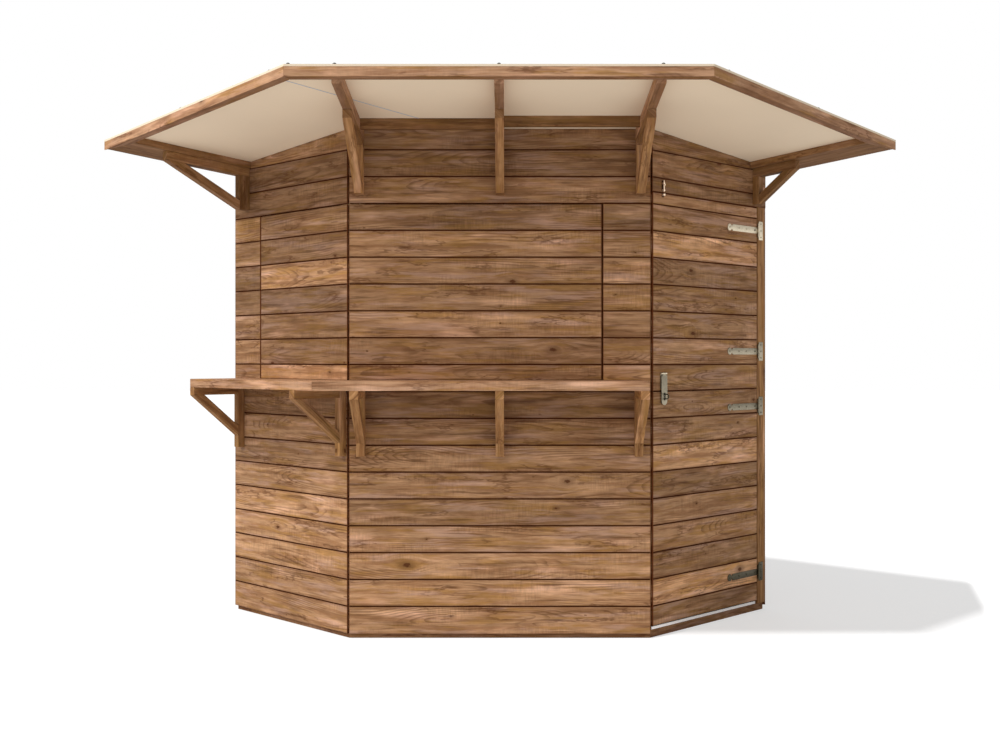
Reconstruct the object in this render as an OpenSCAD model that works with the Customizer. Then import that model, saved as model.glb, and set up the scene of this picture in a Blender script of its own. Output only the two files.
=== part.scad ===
// Corner garden bar: a five-sided timber shed with a deep canopy, a counter on
// brackets, two serving hatches and a split door.
// Millimetres. X runs along the front wall, Y from front to back, Z up.

/* [Plan] */
// Width of the front wall
front_w = 1301; // [1200:1:1700]
// Length of each angled side wall
side_w = 880; // [820:1:1200]

/* [Heights] */
// Height of the roof's underside over the front wall
roof_z = 2182; // [2120:1:2700]
// Fall of the roof towards the back, per unit of depth
roof_fall = 0.107; // [0.06:0.001:0.13]
// Height of the timber base ring
base_h = 35; // [30:1:60]
// Height of the lower edge of the cladding
clad_z = 20; // [10:1:28]

/* [Walls] */
// Thickness of the tongued cladding
clad_t = 12; // [10:1:22]
// Depth of the wall framing behind the cladding
frame_d = 45; // [34:1:60]
// Width of a stud, rail or post in the wall's plane
stud_w = 45; // [34:1:60]
// Thickness of the floor boards
floor_t = 15; // [12:1:22]

/* [Roof] */
// Overhang in front of the front wall
front_over = 772; // [450:1:850]
// Overhang beyond the side walls, square to them
side_over = 642; // [470:1:700]
// Overhang beyond the back walls
back_over = 45; // [30:1:90]
// Thickness of the roof sheet
sheet_t = 8; // [6:1:18]
// Width of the edge battens
batten_w = 38; // [30:1:50]
// Depth of the edge battens
batten_h = 37; // [31:1:60]
// Width of the flat rim over the back walls
rim_w = 179; // [150:1:220]
// Depth of the flat rim
rim_h = 30; // [24:1:40]
// Depth of the rafters
rafter_h = 50; // [40:1:80]
// Distance of the seam between the sheets from the left back edge
seam_d = 1250; // [1000:1:1500]
// Height of the cross pieces between the outer rafters
noggin_h = 43; // [30:1:50]
// Thickness of the cross pieces
noggin_t = 20; // [16:1:40]
// Distance of the left cross piece's face from the front wall
noggin_left_y = 148; // [100:1:200]
// Distance of the right cross piece's face from the front wall
noggin_right_y = 182; // [100:1:220]

/* [Brackets] */
// Width of every bracket piece
bar_w = 36; // [30:1:50]
// Thickness of the struts
strut_t = 36; // [28:1:46]
// Distance of the outer roof brackets' middle from the front corners
roof_bracket_in = 51.5; // [50:0.5:130]
// Reach of the roof brackets' struts
roof_reach = 433; // [350:1:480]
// Depth of the roof brackets' legs
roof_leg_d = 55; // [30:1:60]
// Height of the lower end of the roof brackets
roof_leg_z = 1898; // [1800:1:2000]
// Height of the roof bracket over the door above the door
door_leg_up = 14; // [12:1:60]
// Distance of the roof bracket over the door from the end of its wall
door_leg_in = 80; // [60:1:130]
// Reach of the roof bracket over the door
door_reach = 231; // [150:1:350]
// Depth of the leg of the roof bracket over the door
door_leg_d = 34; // [30:1:60]
// Distance of the left roof bracket from the end of its wall
side_leg_in = 94; // [60:1:130]
// Depth of the front roof brackets' arms
front_arm_h = 34; // [24:1:60]
// Depth of the side roof brackets' arms
side_arm_h = 40; // [30:1:60]

/* [Counter] */
// Height of the counter's top
counter_z = 1105; // [1000:1:1150]
// Thickness of the counter
counter_t = 39; // [28:1:50]
// Depth of the counter from the wall
counter_d = 270; // [200:1:400]
// Distance of the counter's left end from the back end of the left wall
counter_left_in = 50; // [40:1:300]
// Distance of the counter's right end from the front corner
counter_right_in = 39.5; // [20:0.5:90]
// Distance of the side bracket next to the front corner from that corner
counter_turn_in = 11; // [4:1:60]
// Depth of the counter brackets' legs
counter_leg_d = 34; // [30:1:60]
// Depth of the counter brackets' arms
counter_arm_h = 36; // [30:1:50]
// Height of the lower end of the counter brackets
counter_leg_z = 780; // [700:1:860]
// Length of leg left below a counter strut
counter_foot = 56; // [10:1:80]

/* [Hatches] */
// Height of the hatches' upper edge
hatch_top = 1862; // [1700:1:1880]
// Height of the hatches' lower edge above the counter
hatch_lift = 6; // [4:1:20]
// Width of the wall beside the front hatch
front_stile_w = 210; // [150:1:300]
// Width of the wall beside the side hatch
side_stile_w = 218; // [150:1:300]
// Gap round a hatch
hatch_gap = 4; // [2:1:8]
// Thickness of the battens behind hatches and door leaves
ledge_t = 28; // [20:1:34]
// Height of the battens behind hatches and door leaves
ledge_h = 70; // [50:1:95]

/* [Door] */
// Height of the lower edge of the door
door_z = 60; // [55:1:90]
// Height of the split between the leaves
split_z = 1057; // [950:1:1100]
// Height of the upper edge of the door
door_top = 1911; // [1850:1:1911]
// Gap between the leaves, and between the door and what is round it
door_gap = 6; // [5:1:10]
// Width of the post that carries the hinges
hinge_post_w = 72; // [60:1:100]
// Distance of the lowest hinge from the lower leaf's bottom
hinge_foot_in = 127; // [80:1:200]
// Distance of the lower leaf's upper hinge from the split
lower_hinge_in = 84; // [60:1:200]
// Distance of the upper leaf's lower hinge from the split
upper_hinge_in = 175; // [60:1:250]
// Distance of the highest hinge from the upper leaf's top
hinge_head_in = 106; // [60:1:200]

/* [Hardware] */
// Thickness of the metal plates
plate_t = 3; // [2:0.5:4]
// Length of a hinge strap
strap_l = 247; // [180:1:300]
// Height of a hinge strap
strap_h = 32; // [24:1:40]
// Height of a hinge's fixed plate
tee_h = 88; // [70:1:120]
// Width of a hinge's fixed plate
tee_w = 34; // [25:1:40]
// Outer radius of a hinge knuckle
knuckle_r = 6; // [5:0.5:7]
// Radius of a hinge pin
pin_r = 3; // [2:0.1:3.5]
// Radial clearance of a pin in its knuckle
pin_gap = 0.08; // [0.05:0.01:0.1]
// Distance of the hasp from the front corner
hasp_x = 78; // [60:1:120]
// Width of the hasp
hasp_w = 40; // [30:1:50]
// Height of the hasp's pin above the split
hasp_up = 76; // [60:1:90]
// Length of the hasp's strap below its pin
hasp_l = 136; // [120:1:150]
// Depth of the staple's ring below the split
staple_down = 23; // [20:1:30]
// Distance of the small bolt from the front corner
bolt_x = 76; // [60:1:120]
// Length of the small bolt's rod
bolt_l = 50; // [44:1:60]

/* [Hidden] */

$fn = 48;
r2 = sqrt(2);
t22 = tan(22.5);
pitch = atan(roof_fall);
big = 4000;
// Gap left between pieces that are fitted together
fit = 0.1;

// Plan: half the front wall, the side walls' run in X and Y, and the back corner
half_front = front_w / 2;
run = side_w / r2;
back_y = half_front + 2 * run;
back_w = (half_front + run) * r2;
wall_d = clad_t + frame_d;
frame_y = clad_t + fit;
roof_bracket_x = half_front - roof_bracket_in;
counter_right = half_front - counter_right_in;
front_hatch = front_w - front_stile_w;
side_hatch = side_w - side_stile_w;

// Roof outline: the side edges lie on |x| - y = side_k, the back edges on |x| + y = back_k
side_k = half_front + r2 * side_over;
back_k = back_y + r2 * back_over;
mid_y = (back_k - front_over) / 2;

function wall_start(i) = [[-half_front, 0], [half_front, 0], [half_front + run, run],
    [0, back_y], [-half_front - run, run]][i];
FRONT = 0; RIGHT = 1; BACK_RIGHT = 2; BACK_LEFT = 3; LEFT = 4;
wall_turn = [0, 45, 135, 225, 315];
wall_len = [front_w, side_w, back_w, back_w, side_w];
// How far a wall layer's ends step in for each unit of depth, at its start and end
mitre_in = [[t22, t22], [t22, 1], [1, 1], [1, 1], [1, t22]];

function wall_plan(d) = [[-half_front + d * t22, d], [half_front - d * t22, d],
    [half_front + run - r2 * d, run], [0, back_y - r2 * d], [-half_front - run + r2 * d, run]];
function roof_plan(front_in, side_in, back_in) =
    let (f = front_over - front_in, s = side_k - r2 * side_in, b = back_k - r2 * back_in)
    [[f - s, -f], [s - f, -f], [(s + b) / 2, (b - s) / 2], [0, b], [-(s + b) / 2, (b - s) / 2]];
roof_outer = roof_plan(0, 0, 0);
roof_inner = roof_plan(batten_w, batten_w, rim_w);

hatch_low = counter_z + hatch_lift;
// The leaves start this far further in than the gap, which clears the front wall's end
latch_clear = 4;
leaf_start = door_gap + latch_clear;
leaf_end = side_w - hinge_post_w - door_gap;
lower_top = split_z - door_gap / 2;
upper_low = split_z + door_gap / 2;
header_z = door_top + door_gap;
door_leg_z = door_top + door_leg_up;
// Tee hinges: the axis stands upright, axis_out in front of the wall
hinge_zs = [door_z + hinge_foot_in, split_z - lower_hinge_in, split_z + upper_hinge_in, door_top - hinge_head_in];
axis_x = side_w - hinge_post_w - door_gap / 2 + 1;
axis_out = knuckle_r + 0.5;
knuckle_h = tee_h / 4;
knuckle_gap = 0.4;

module in_plan() translate([0, -mid_y, 0]) children();
// Wall frame: x along the wall, y inwards from its outer face, z up
module on_wall(i) translate([wall_start(i).x, wall_start(i).y - mid_y, 0])
    rotate([0, 0, wall_turn[i]]) children();
module box(x0, x1, y0, y1, z0, z1) translate([x0, y0, z0]) cube([x1 - x0, y1 - y0, z1 - z0]);

// The space between two planes parallel to the roof's underside, low and high from it
module roof_layer(low, high) in_plan() translate([0, 0, roof_z]) rotate([-pitch, 0, 0])
    translate([-big, -big, low]) cube([2 * big, 2 * big, high - low]);
module under_roof(depth) intersection() {
    in_plan() linear_extrude(big) children();
    roof_layer(-depth, 0);
}
module cut_to_roof(depth) difference() {
    children();
    roof_layer(-depth, big);
}
module rims() {
    rim_left();
    rim_right();
}

// The cladding of a wall from z0 to z1, mitred where it comes within a hatch's gap of the wall's ends
module clad(i, x0, x1, z0, z1) {
    m0 = x0 <= hatch_gap ? mitre_in[i][0] * clad_t : 0;
    m1 = x1 >= wall_len[i] - hatch_gap ? mitre_in[i][1] * clad_t : 0;
    on_wall(i) translate([0, 0, z0]) linear_extrude(z1 - z0)
        polygon([[x0, 0], [x1, 0], [x1 - m1, clad_t], [x0 + m0, clad_t]]);
}

module base_frame() color("sienna") in_plan() linear_extrude(base_h) difference() {
    polygon(wall_plan(frame_y));
    polygon(wall_plan(wall_d));
}
bearer_xs = [-450, 0, 450];
module floor_bearers() color("sienna") in_plan() linear_extrude(base_h) intersection() {
    polygon(wall_plan(wall_d + fit));
    for (x = bearer_xs) translate([x - stud_w / 2, 0]) square([stud_w, back_y]);
}
module floor_boards() color("burlywood") in_plan() translate([0, 0, base_h]) linear_extrude(floor_t)
    polygon(wall_plan(wall_d + fit));
module threshold_strip() color("gainsboro") on_wall(RIGHT)
    box(leaf_start, leaf_end, clad_t + plate_t, wall_d - plate_t, base_h, base_h + plate_t);

// Cladding
module front_lower() color("peru") clad(FRONT, fit, front_w - fit, clad_z, counter_z);
module front_stile() color("peru") clad(FRONT, front_hatch, front_w - fit, counter_z, hatch_top);
module front_header() color("peru") cut_to_roof(0) clad(FRONT, fit, front_w - fit, hatch_top, roof_z + 60);
module left_lower() color("peru") clad(LEFT, fit, side_w - fit, clad_z, counter_z);
module left_stile() color("peru") clad(LEFT, fit, side_w - side_hatch, counter_z, hatch_top);
module left_header() color("peru") difference() {
    cut_to_roof(0) clad(LEFT, fit, side_w - fit, hatch_top, roof_z + 60);
    rims();
}
module right_header() color("peru") difference() {
    cut_to_roof(0) clad(RIGHT, fit, side_w - fit, header_z, roof_z + 60);
    rims();
}
module back_left_wall() color("peru") cut_to_roof(rim_h) clad(BACK_LEFT, fit, back_w - fit, clad_z, roof_z + 60);
module back_right_wall() color("peru") cut_to_roof(rim_h) clad(BACK_RIGHT, fit, back_w - fit, clad_z, roof_z + 60);

// Framing
module hinge_post() color("sienna") on_wall(RIGHT)
    box(side_w - hinge_post_w, side_w - frame_y, 0, wall_d, base_h, header_z);
module post_plan(i, at_end) {
    near = wall_len[i] - mitre_in[i][1] * frame_y;
    deep = wall_len[i] - mitre_in[i][1] * wall_d;
    start = mitre_in[i][0] * wall_d;
    if (at_end) polygon([[near, frame_y], [deep, wall_d], [deep - stud_w, wall_d], [deep - stud_w, frame_y]]);
    else polygon([[mitre_in[i][0] * frame_y, frame_y], [start, wall_d],
        [start + stud_w, wall_d], [start + stud_w, frame_y]]);
}
module corner_post(i, j) linear_extrude(big) {
    if (i >= 0) translate([wall_start(i).x, wall_start(i).y - mid_y]) rotate(wall_turn[i]) post_plan(i, true);
    if (j >= 0) translate([wall_start(j).x, wall_start(j).y - mid_y]) rotate(wall_turn[j]) post_plan(j, false);
}
// The post on the latch side is cut square to the door so that the leaves pass it
module latch_post() in_plan() linear_extrude(big) polygon([[half_front - 2 * wall_d, frame_y],
    [half_front - frame_y - door_gap, frame_y], [half_front - wall_d - door_gap, wall_d],
    [half_front - 2 * wall_d, wall_d]]);
module corner_posts() color("tan") difference() {
    union() {
        corner_post(LEFT, FRONT);
        on_wall(LEFT) box(frame_y, wall_d, frame_y, wall_d, 0, big);
        on_wall(BACK_LEFT) box(frame_y, wall_d, frame_y, wall_d, 0, big);
        latch_post();
    }
    translate([-big, -big, -1]) cube([2 * big, 2 * big, base_h + 1]);
    roof_layer(-rim_h, big);
}
module sole_rail(i, x0, x1) on_wall(i) box(x0 + fit, x1 - fit, frame_y, wall_d - fit, base_h, base_h + stud_w);
corner_in = wall_d * t22 + stud_w;
module sole_rails() color("tan") {
    sole_rail(FRONT, corner_in, front_w - 2 * wall_d);
    sole_rail(LEFT, wall_d, side_w - corner_in);
    sole_rail(BACK_LEFT, wall_d, back_w - wall_d);
    sole_rail(BACK_RIGHT, wall_d, back_w - wall_d);
}
module head_rail(i, x0, x1, top) intersection() {
    on_wall(i) box(x0 + fit, x1 - fit, frame_y, wall_d - fit, 0, big);
    roof_layer(-top - stud_w, -top);
}
module head_rails() color("tan") difference() {
    union() {
        head_rail(FRONT, corner_in, front_w - 2 * wall_d, 0);
        head_rail(LEFT, wall_d, side_w - corner_in, 0);
        head_rail(RIGHT, corner_in, side_w - wall_d, 0);
        head_rail(BACK_LEFT, wall_d, back_w - wall_d, rim_h);
        head_rail(BACK_RIGHT, wall_d, back_w - wall_d, rim_h);
    }
    rims();
}
module stud(i, x) on_wall(i) box(x, x + stud_w, frame_y, wall_d, base_h + stud_w, big);
stud_share = [0.25, 0.5, 0.75];
module studs() color("tan") difference() {
    union() {
        stud(FRONT, front_hatch);
        stud(LEFT, side_w - side_hatch - stud_w);
        for (i = [BACK_LEFT, BACK_RIGHT], s = stud_share) stud(i, s * back_w - stud_w / 2);
    }
    roof_layer(-rim_h - stud_w, big);
}

// Hatches: boarded panels that fill the openings, with battens behind
module hatch_front() color("peru")
    clad(FRONT, hatch_gap, front_hatch - hatch_gap, hatch_low, hatch_top - hatch_gap);
module hatch_side() color("peru")
    clad(LEFT, side_w - side_hatch + hatch_gap, side_w - hatch_gap, hatch_low, hatch_top - hatch_gap);
module hatch_battens() color("tan") for (z = [hatch_low + ledge_h, hatch_top - 2 * ledge_h]) {
    on_wall(FRONT) box(corner_in + hatch_gap, front_hatch - hatch_gap, clad_t, clad_t + ledge_t, z, z + ledge_h);
    on_wall(LEFT) box(side_w - side_hatch + hatch_gap, side_w - corner_in - hatch_gap,
        clad_t, clad_t + ledge_t, z, z + ledge_h);
}

// Roof
module sheet(side) in_plan() intersection() {
    linear_extrude(big) polygon(roof_outer);
    translate([0, mid_y, 0]) roof_layer(0, sheet_t);
    linear_extrude(big) seam_side(side);
}
// The seam lies seam_d from the left back edge and parallel to it
module seam_side(side) translate([0, back_k - r2 * seam_d]) rotate(45)
    translate([-big, side > 0 ? -2 * big : 0]) square([2 * big, 2 * big]);
module sheet_left() color("beige") sheet(-1);
module sheet_right() color("beige") sheet(1);
module edge_piece(a, b, depth) under_roof(depth)
    polygon([roof_outer[a], roof_outer[b], roof_inner[b], roof_inner[a]]);
module fascia_front() color("peru") edge_piece(0, 1, batten_h);
module fascia_right() color("peru") edge_piece(1, 2, batten_h);
module rim_right() color("peru") edge_piece(2, 3, rim_h);
module rim_left() color("peru") edge_piece(3, 4, rim_h);
module fascia_left() color("peru") edge_piece(4, 0, batten_h);
rafter_xs = [-roof_bracket_x, 0, roof_bracket_x];
module outer_rafters() color("peru") under_roof(rafter_h) for (x = rafter_xs)
    translate([x - bar_w / 2, batten_w - front_over]) square([bar_w, front_over - batten_w]);
module inner_rafters() color("peru") under_roof(rafter_h) intersection() {
    polygon(roof_inner);
    for (x = rafter_xs) translate([x - bar_w / 2, wall_d]) square([bar_w, back_y]);
}
module noggins() color("peru") under_roof(noggin_h) {
    translate([-roof_bracket_x + bar_w / 2, -noggin_left_y]) square([roof_bracket_x - bar_w, noggin_t]);
    translate([bar_w / 2, -noggin_right_y]) square([roof_bracket_x - bar_w, noggin_t]);
}

// Brackets. Each roof place is [wall, x of its near side, height of its foot, depth of its leg, reach,
// what hangs over its arm, its arm's depth].
roof_places = [
    [FRONT, half_front - roof_bracket_x - bar_w / 2, roof_leg_z, roof_leg_d, roof_reach, rafter_h, front_arm_h],
    [FRONT, half_front - bar_w / 2, roof_leg_z, roof_leg_d, roof_reach, rafter_h, front_arm_h],
    [FRONT, half_front + roof_bracket_x - bar_w / 2, roof_leg_z, roof_leg_d, roof_reach, rafter_h, front_arm_h],
    [LEFT, side_leg_in, roof_leg_z, roof_leg_d, roof_reach, rim_h, side_arm_h],
    [RIGHT, side_w - door_leg_in - bar_w, door_leg_z, door_leg_d, door_reach, rim_h, side_arm_h]];
counter_places = [[FRONT, half_front - counter_right], [FRONT, half_front - bar_w / 2],
    [FRONT, half_front + counter_right - bar_w],
    [LEFT, counter_left_in], [LEFT, side_w - bar_w - counter_turn_in]];

// Height of the roof's underside at a place in a wall's frame
function place_y(i, x, out) = wall_start(i).y + x * sin(wall_turn[i]) - out * cos(wall_turn[i]);
function ceiling(i, x, out) = roof_z - roof_fall * place_y(i, x, out);

module leg(i, x, depth, low) on_wall(i) box(x, x + bar_w, -depth, 0, low, big);
// A strut in the plane y-z, from its foot on the leg to its toe under the arm
module strut(i, x, foot_out, foot_z, toe_out, toe_z) {
    rise = toe_z - foot_z;
    reach = toe_out - foot_out;
    up = strut_t * sqrt(rise * rise + reach * reach) / reach;
    on_wall(i) translate([x, 0, 0]) rotate([90, 0, 90]) linear_extrude(bar_w) intersection() {
        polygon([[-foot_out, foot_z], [-foot_out, foot_z + up],
            [-toe_out, toe_z + up], [-toe_out, toe_z]]);
        translate([-toe_out, foot_z - 1]) square([reach, rise + 1]);
    }
}
module at_roof_brackets() for (p = roof_places) {
    $i = p[0];
    $x = p[1];
    $low = p[2];
    $leg_d = p[3];
    $reach = p[4];
    $hang = p[5];
    $arm = p[6];
    children();
}
module roof_legs() color("peru") at_roof_brackets() difference() {
    leg($i, $x, $leg_d, $low);
    roof_layer(-$hang - $arm, big);
}
module roof_arms() color("peru") at_roof_brackets() intersection() {
    on_wall($i) box($x, $x + bar_w, -$reach, 0, 0, big);
    roof_layer(-$hang - $arm, -$hang);
}
module roof_struts() color("peru") at_roof_brackets() difference() {
    strut($i, $x, $leg_d, $low, $reach, ceiling($i, $x, $reach) - $hang - $arm);
    roof_layer(-$hang - $arm, big);
}

// Counter
under_counter = counter_z - counter_t;
module counter_front() color("peru") in_plan() translate([0, 0, under_counter]) linear_extrude(counter_t)
    polygon([[fit - half_front, 0], [counter_right, 0], [counter_right, -counter_d],
        [fit - half_front - counter_d * t22, -counter_d]]);
module counter_left() color("peru") on_wall(LEFT) translate([0, 0, under_counter]) linear_extrude(counter_t)
    polygon([[counter_left_in, 0], [side_w - fit, 0], [side_w - fit + counter_d * t22, -counter_d],
        [counter_left_in, -counter_d]]);
module at_counter_brackets() for (p = counter_places) {
    $i = p[0];
    $x = p[1];
    children();
}
module counter_legs() color("peru") at_counter_brackets() on_wall($i)
    box($x, $x + bar_w, -counter_leg_d, 0, counter_leg_z, under_counter);
module counter_arms() color("peru") at_counter_brackets() on_wall($i)
    box($x, $x + bar_w, -counter_d, -counter_leg_d, under_counter - counter_arm_h, under_counter);
module counter_struts() color("peru") at_counter_brackets()
    strut($i, $x, counter_leg_d, counter_leg_z + counter_foot, counter_d, under_counter - counter_arm_h);

// Door leaves, each with two ledges behind it
ledge_latch_in = 60;
ledge_hinge_in = 20;
module leaf(z0, z1) on_wall(RIGHT) box(leaf_start, leaf_end, 0, clad_t, z0, z1);
module ledges(z0, z1) on_wall(RIGHT) for (z = [z0 + ledge_h, z1 - 2 * ledge_h])
    box(leaf_start + ledge_latch_in, leaf_end - ledge_hinge_in, clad_t, clad_t + ledge_t, z, z + ledge_h);
module lower_leaf() color("peru") leaf(door_z, lower_top);
module lower_ledges() color("tan") ledges(door_z, lower_top);
module upper_leaf() color("peru") leaf(upper_low, door_top);
module upper_ledges() color("tan") ledges(upper_low, door_top);

// Tee hinges: a plate on the post carries two knuckles and the pin, the strap on the leaf has the third
module at_axis(z) on_wall(RIGHT) translate([axis_x, -axis_out, z]) children();
plate_start = axis_x + knuckle_r + 1;
module hinge_plates() color("silver") for (z = hinge_zs) on_wall(RIGHT)
    box(plate_start, plate_start + tee_w, -plate_t, 0, z - tee_h / 2, z + tee_h / 2);
module barrel(z0) {
    at_axis(z0) cylinder(r = knuckle_r, h = knuckle_h);
    on_wall(RIGHT) box(axis_x, plate_start, -plate_t, 0, z0, z0 + knuckle_h);
}
module hinge_barrels() color("silver") difference() {
    for (z = hinge_zs, z0 = [z - 1.5 * knuckle_h - knuckle_gap, z + knuckle_h / 2 + knuckle_gap]) barrel(z0);
    for (z = hinge_zs) at_axis(z - tee_h) cylinder(r = pin_r + pin_gap, h = 2 * tee_h);
}
module hinge_pins() color("silver") for (z = hinge_zs)
    at_axis(z - 1.5 * knuckle_h - knuckle_gap) cylinder(r = pin_r, h = 3 * knuckle_h + 2 * knuckle_gap);
// The strap's blade is narrower than its round end
blade_h = strap_h * 0.64;
module strap(z) difference() {
    union() {
        on_wall(RIGHT) translate([0, 0, z]) rotate([90, 0, 0]) linear_extrude(plate_t) {
            translate([axis_x - strap_l + strap_h / 2, 0]) circle(d = strap_h);
            translate([axis_x - strap_l + strap_h / 2, -blade_h / 2]) square([strap_l - strap_h / 2, blade_h]);
        }
        at_axis(z - knuckle_h / 2) cylinder(r = knuckle_r, h = knuckle_h);
    }
    at_axis(z - tee_h) cylinder(r = pin_r + pin_gap, h = 2 * tee_h);
}
module lower_straps() color("silver") for (z = [hinge_zs[0], hinge_zs[1]]) strap(z);
module upper_straps() color("silver") for (z = [hinge_zs[2], hinge_zs[3]]) strap(z);

// Hasp: a slotted strap hung from the upper leaf over a staple on the lower leaf
hasp_z = split_z + hasp_up;
staple_z = split_z - staple_down;
hasp_pin_r = 1.5;
hasp_knuckle_r = 4;
hasp_knuckle_w = 10;
hasp_out = hasp_knuckle_r + 0.5;
hasp_plate_t = 1.5;
hasp_plate_up = 9;
hasp_clear = 5;
hasp_side_gap = 0.3;
staple_r = 9;
wire_r = 2.5;
staple_plate_w = 28;
staple_plate_h = 37;
slot_w = 14;
slot_end = 8;
module at_hasp(x) on_wall(RIGHT) translate([x, -hasp_out, hasp_z]) rotate([0, 90, 0]) children();
hasp_x0 = hasp_x - hasp_w / 2;
module hasp_plate() color("silver") {
    on_wall(RIGHT) box(hasp_x0, hasp_x0 + hasp_w, -hasp_plate_t, 0, upper_low + hasp_plate_up, hasp_z - hasp_clear);
    for (x = [hasp_x0, hasp_x0 + hasp_w - hasp_knuckle_w]) on_wall(RIGHT)
        box(x, x + hasp_knuckle_w, -hasp_plate_t, 0, hasp_z - hasp_clear - 1, hasp_z + hasp_knuckle_r);
    for (x = [hasp_x0, hasp_x0 + hasp_w - hasp_knuckle_w + hasp_side_gap])
        at_hasp(x) cylinder(r = hasp_knuckle_r, h = hasp_knuckle_w - hasp_side_gap);
    at_hasp(hasp_x0) cylinder(r = hasp_pin_r, h = hasp_w);
}
module hasp_strap() color("silver") difference() {
    union() {
        on_wall(RIGHT) translate([hasp_x, -hasp_out - 1, hasp_z]) rotate([90, 0, 0]) linear_extrude(plate_t) {
            translate([hasp_knuckle_w - hasp_w / 2, -12]) square([hasp_w - 2 * hasp_knuckle_w, 12]);
            translate([-hasp_w / 2, -hasp_l + hasp_w / 2])
                square([hasp_w, hasp_l - hasp_w / 2 - 2 * hasp_knuckle_r]);
            translate([0, -hasp_l + hasp_w / 2]) circle(d = hasp_w);
        }
        at_hasp(hasp_x0 + hasp_knuckle_w) cylinder(r = hasp_knuckle_r, h = hasp_w - 2 * hasp_knuckle_w);
    }
    at_hasp(hasp_x0 - 1) cylinder(r = hasp_pin_r + pin_gap, h = hasp_w + 2);
    on_wall(RIGHT) box(hasp_x - slot_w / 2, hasp_x + slot_w / 2, -4 * hasp_out, hasp_out,
        staple_z - staple_r - slot_end, staple_z + staple_r + slot_end);
}
module hasp_staple() color("silver") {
    on_wall(RIGHT) box(hasp_x - staple_plate_w / 2, hasp_x + staple_plate_w / 2, -plate_t / 2, 0,
        staple_z - staple_plate_h / 2, staple_z + staple_plate_h / 2);
    on_wall(RIGHT) translate([hasp_x, -1, staple_z]) rotate([0, 90, 0]) rotate([0, 0, 180])
        intersection() {
            rotate_extrude() translate([staple_r, 0]) circle(r = wire_r, $fn = 24);
            translate([-30, 0, -30]) cube([60, 30, 60]);
        }
}

// Small bolt over the door: two bridges on the header and one on the upper leaf guide its rod
rod_r = 3;
bolt_out = 7;
bridge_w = 16;
bridge_h = 8;
bridge_t = 2.5;
rod_gap = 0.5;
keeper_gap = 1.5;
bolt_plate_t = 1.5;
knob_r = 2.5;
knob_l = 12;
barrel_low = header_z + 5;
barrel_high = header_z + 34;
module at_bolt(z) on_wall(RIGHT) translate([bolt_x, -bolt_out, z]) children();
module bolt_plate(z0, z1) on_wall(RIGHT) box(bolt_x - bridge_w / 2, bolt_x + bridge_w / 2, -bolt_plate_t, 0, z0, z1);
module bridge(z, gap) on_wall(RIGHT) difference() {
    half = rod_r + gap;
    box(bolt_x - half - bridge_t, bolt_x + half + bridge_t, -bolt_out - half - bridge_t, 0, z, z + bridge_h);
    box(bolt_x - half, bolt_x + half, -bolt_out - half, -bolt_plate_t, z - 1, z + bridge_h + 1);
}
module bolt_barrel() color("silver") {
    bolt_plate(header_z + 4, header_z + bolt_l);
    bridge(barrel_low, rod_gap);
    bridge(barrel_high, rod_gap);
}
module bolt_rod() color("silver") {
    at_bolt(header_z + 1) cylinder(r = rod_r, h = bolt_l);
    at_bolt(header_z + 31) rotate([90, 0, 0]) cylinder(r = knob_r, h = knob_l);
}
module bolt_keeper() color("silver") {
    bolt_plate(door_top - bridge_w, door_top - 1);
    bridge(door_top - 1 - bridge_h, keeper_gap);
}

base_frame();
floor_bearers();
floor_boards();
threshold_strip();
front_lower();
front_stile();
front_header();
left_lower();
left_stile();
left_header();
right_header();
hinge_post();
back_left_wall();
back_right_wall();
corner_posts();
sole_rails();
head_rails();
studs();
hatch_front();
hatch_side();
hatch_battens();
sheet_left();
sheet_right();
fascia_front();
fascia_left();
fascia_right();
rim_left();
rim_right();
outer_rafters();
inner_rafters();
noggins();
roof_legs();
roof_arms();
roof_struts();
counter_front();
counter_left();
counter_legs();
counter_arms();
counter_struts();
lower_leaf();
lower_ledges();
upper_leaf();
upper_ledges();
hinge_plates();
hinge_barrels();
hinge_pins();
lower_straps();
upper_straps();
hasp_plate();
hasp_strap();
hasp_staple();
bolt_barrel();
bolt_rod();
bolt_keeper();
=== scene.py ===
"""Corner garden bar: boards, timbers, roof, ironwork and stage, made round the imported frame.

Lengths are in metres. X runs along the front wall, Y from the front to the back corner, Z up.
A wall has a frame of its own: x along the wall, d inwards from its outer face, z up.
"""

import math

import bmesh
import bpy
import numpy as np
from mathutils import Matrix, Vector


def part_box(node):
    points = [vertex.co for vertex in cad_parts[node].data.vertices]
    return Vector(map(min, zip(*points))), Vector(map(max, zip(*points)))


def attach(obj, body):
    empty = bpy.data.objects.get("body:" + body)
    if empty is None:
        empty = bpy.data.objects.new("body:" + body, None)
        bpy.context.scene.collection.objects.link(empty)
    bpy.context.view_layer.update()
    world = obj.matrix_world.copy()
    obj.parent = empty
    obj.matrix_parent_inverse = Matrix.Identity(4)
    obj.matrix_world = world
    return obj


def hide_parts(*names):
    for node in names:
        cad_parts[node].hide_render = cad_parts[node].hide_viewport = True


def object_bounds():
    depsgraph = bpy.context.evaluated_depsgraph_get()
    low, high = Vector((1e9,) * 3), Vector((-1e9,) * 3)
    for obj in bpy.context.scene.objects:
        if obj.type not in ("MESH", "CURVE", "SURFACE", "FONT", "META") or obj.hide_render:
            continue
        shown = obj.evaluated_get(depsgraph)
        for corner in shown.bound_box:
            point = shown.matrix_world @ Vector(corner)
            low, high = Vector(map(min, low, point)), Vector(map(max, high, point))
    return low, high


bl_info = {
    "name": "Corner Garden Bar",
    "version": (1, 0, 0),
    "blender": (4, 5, 0),
    "location": "View3D > Sidebar > Garden Bar",
    "description": "Boards, timbers, roof, ironwork and stage of a corner garden bar",
    "category": "Object",
}

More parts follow.
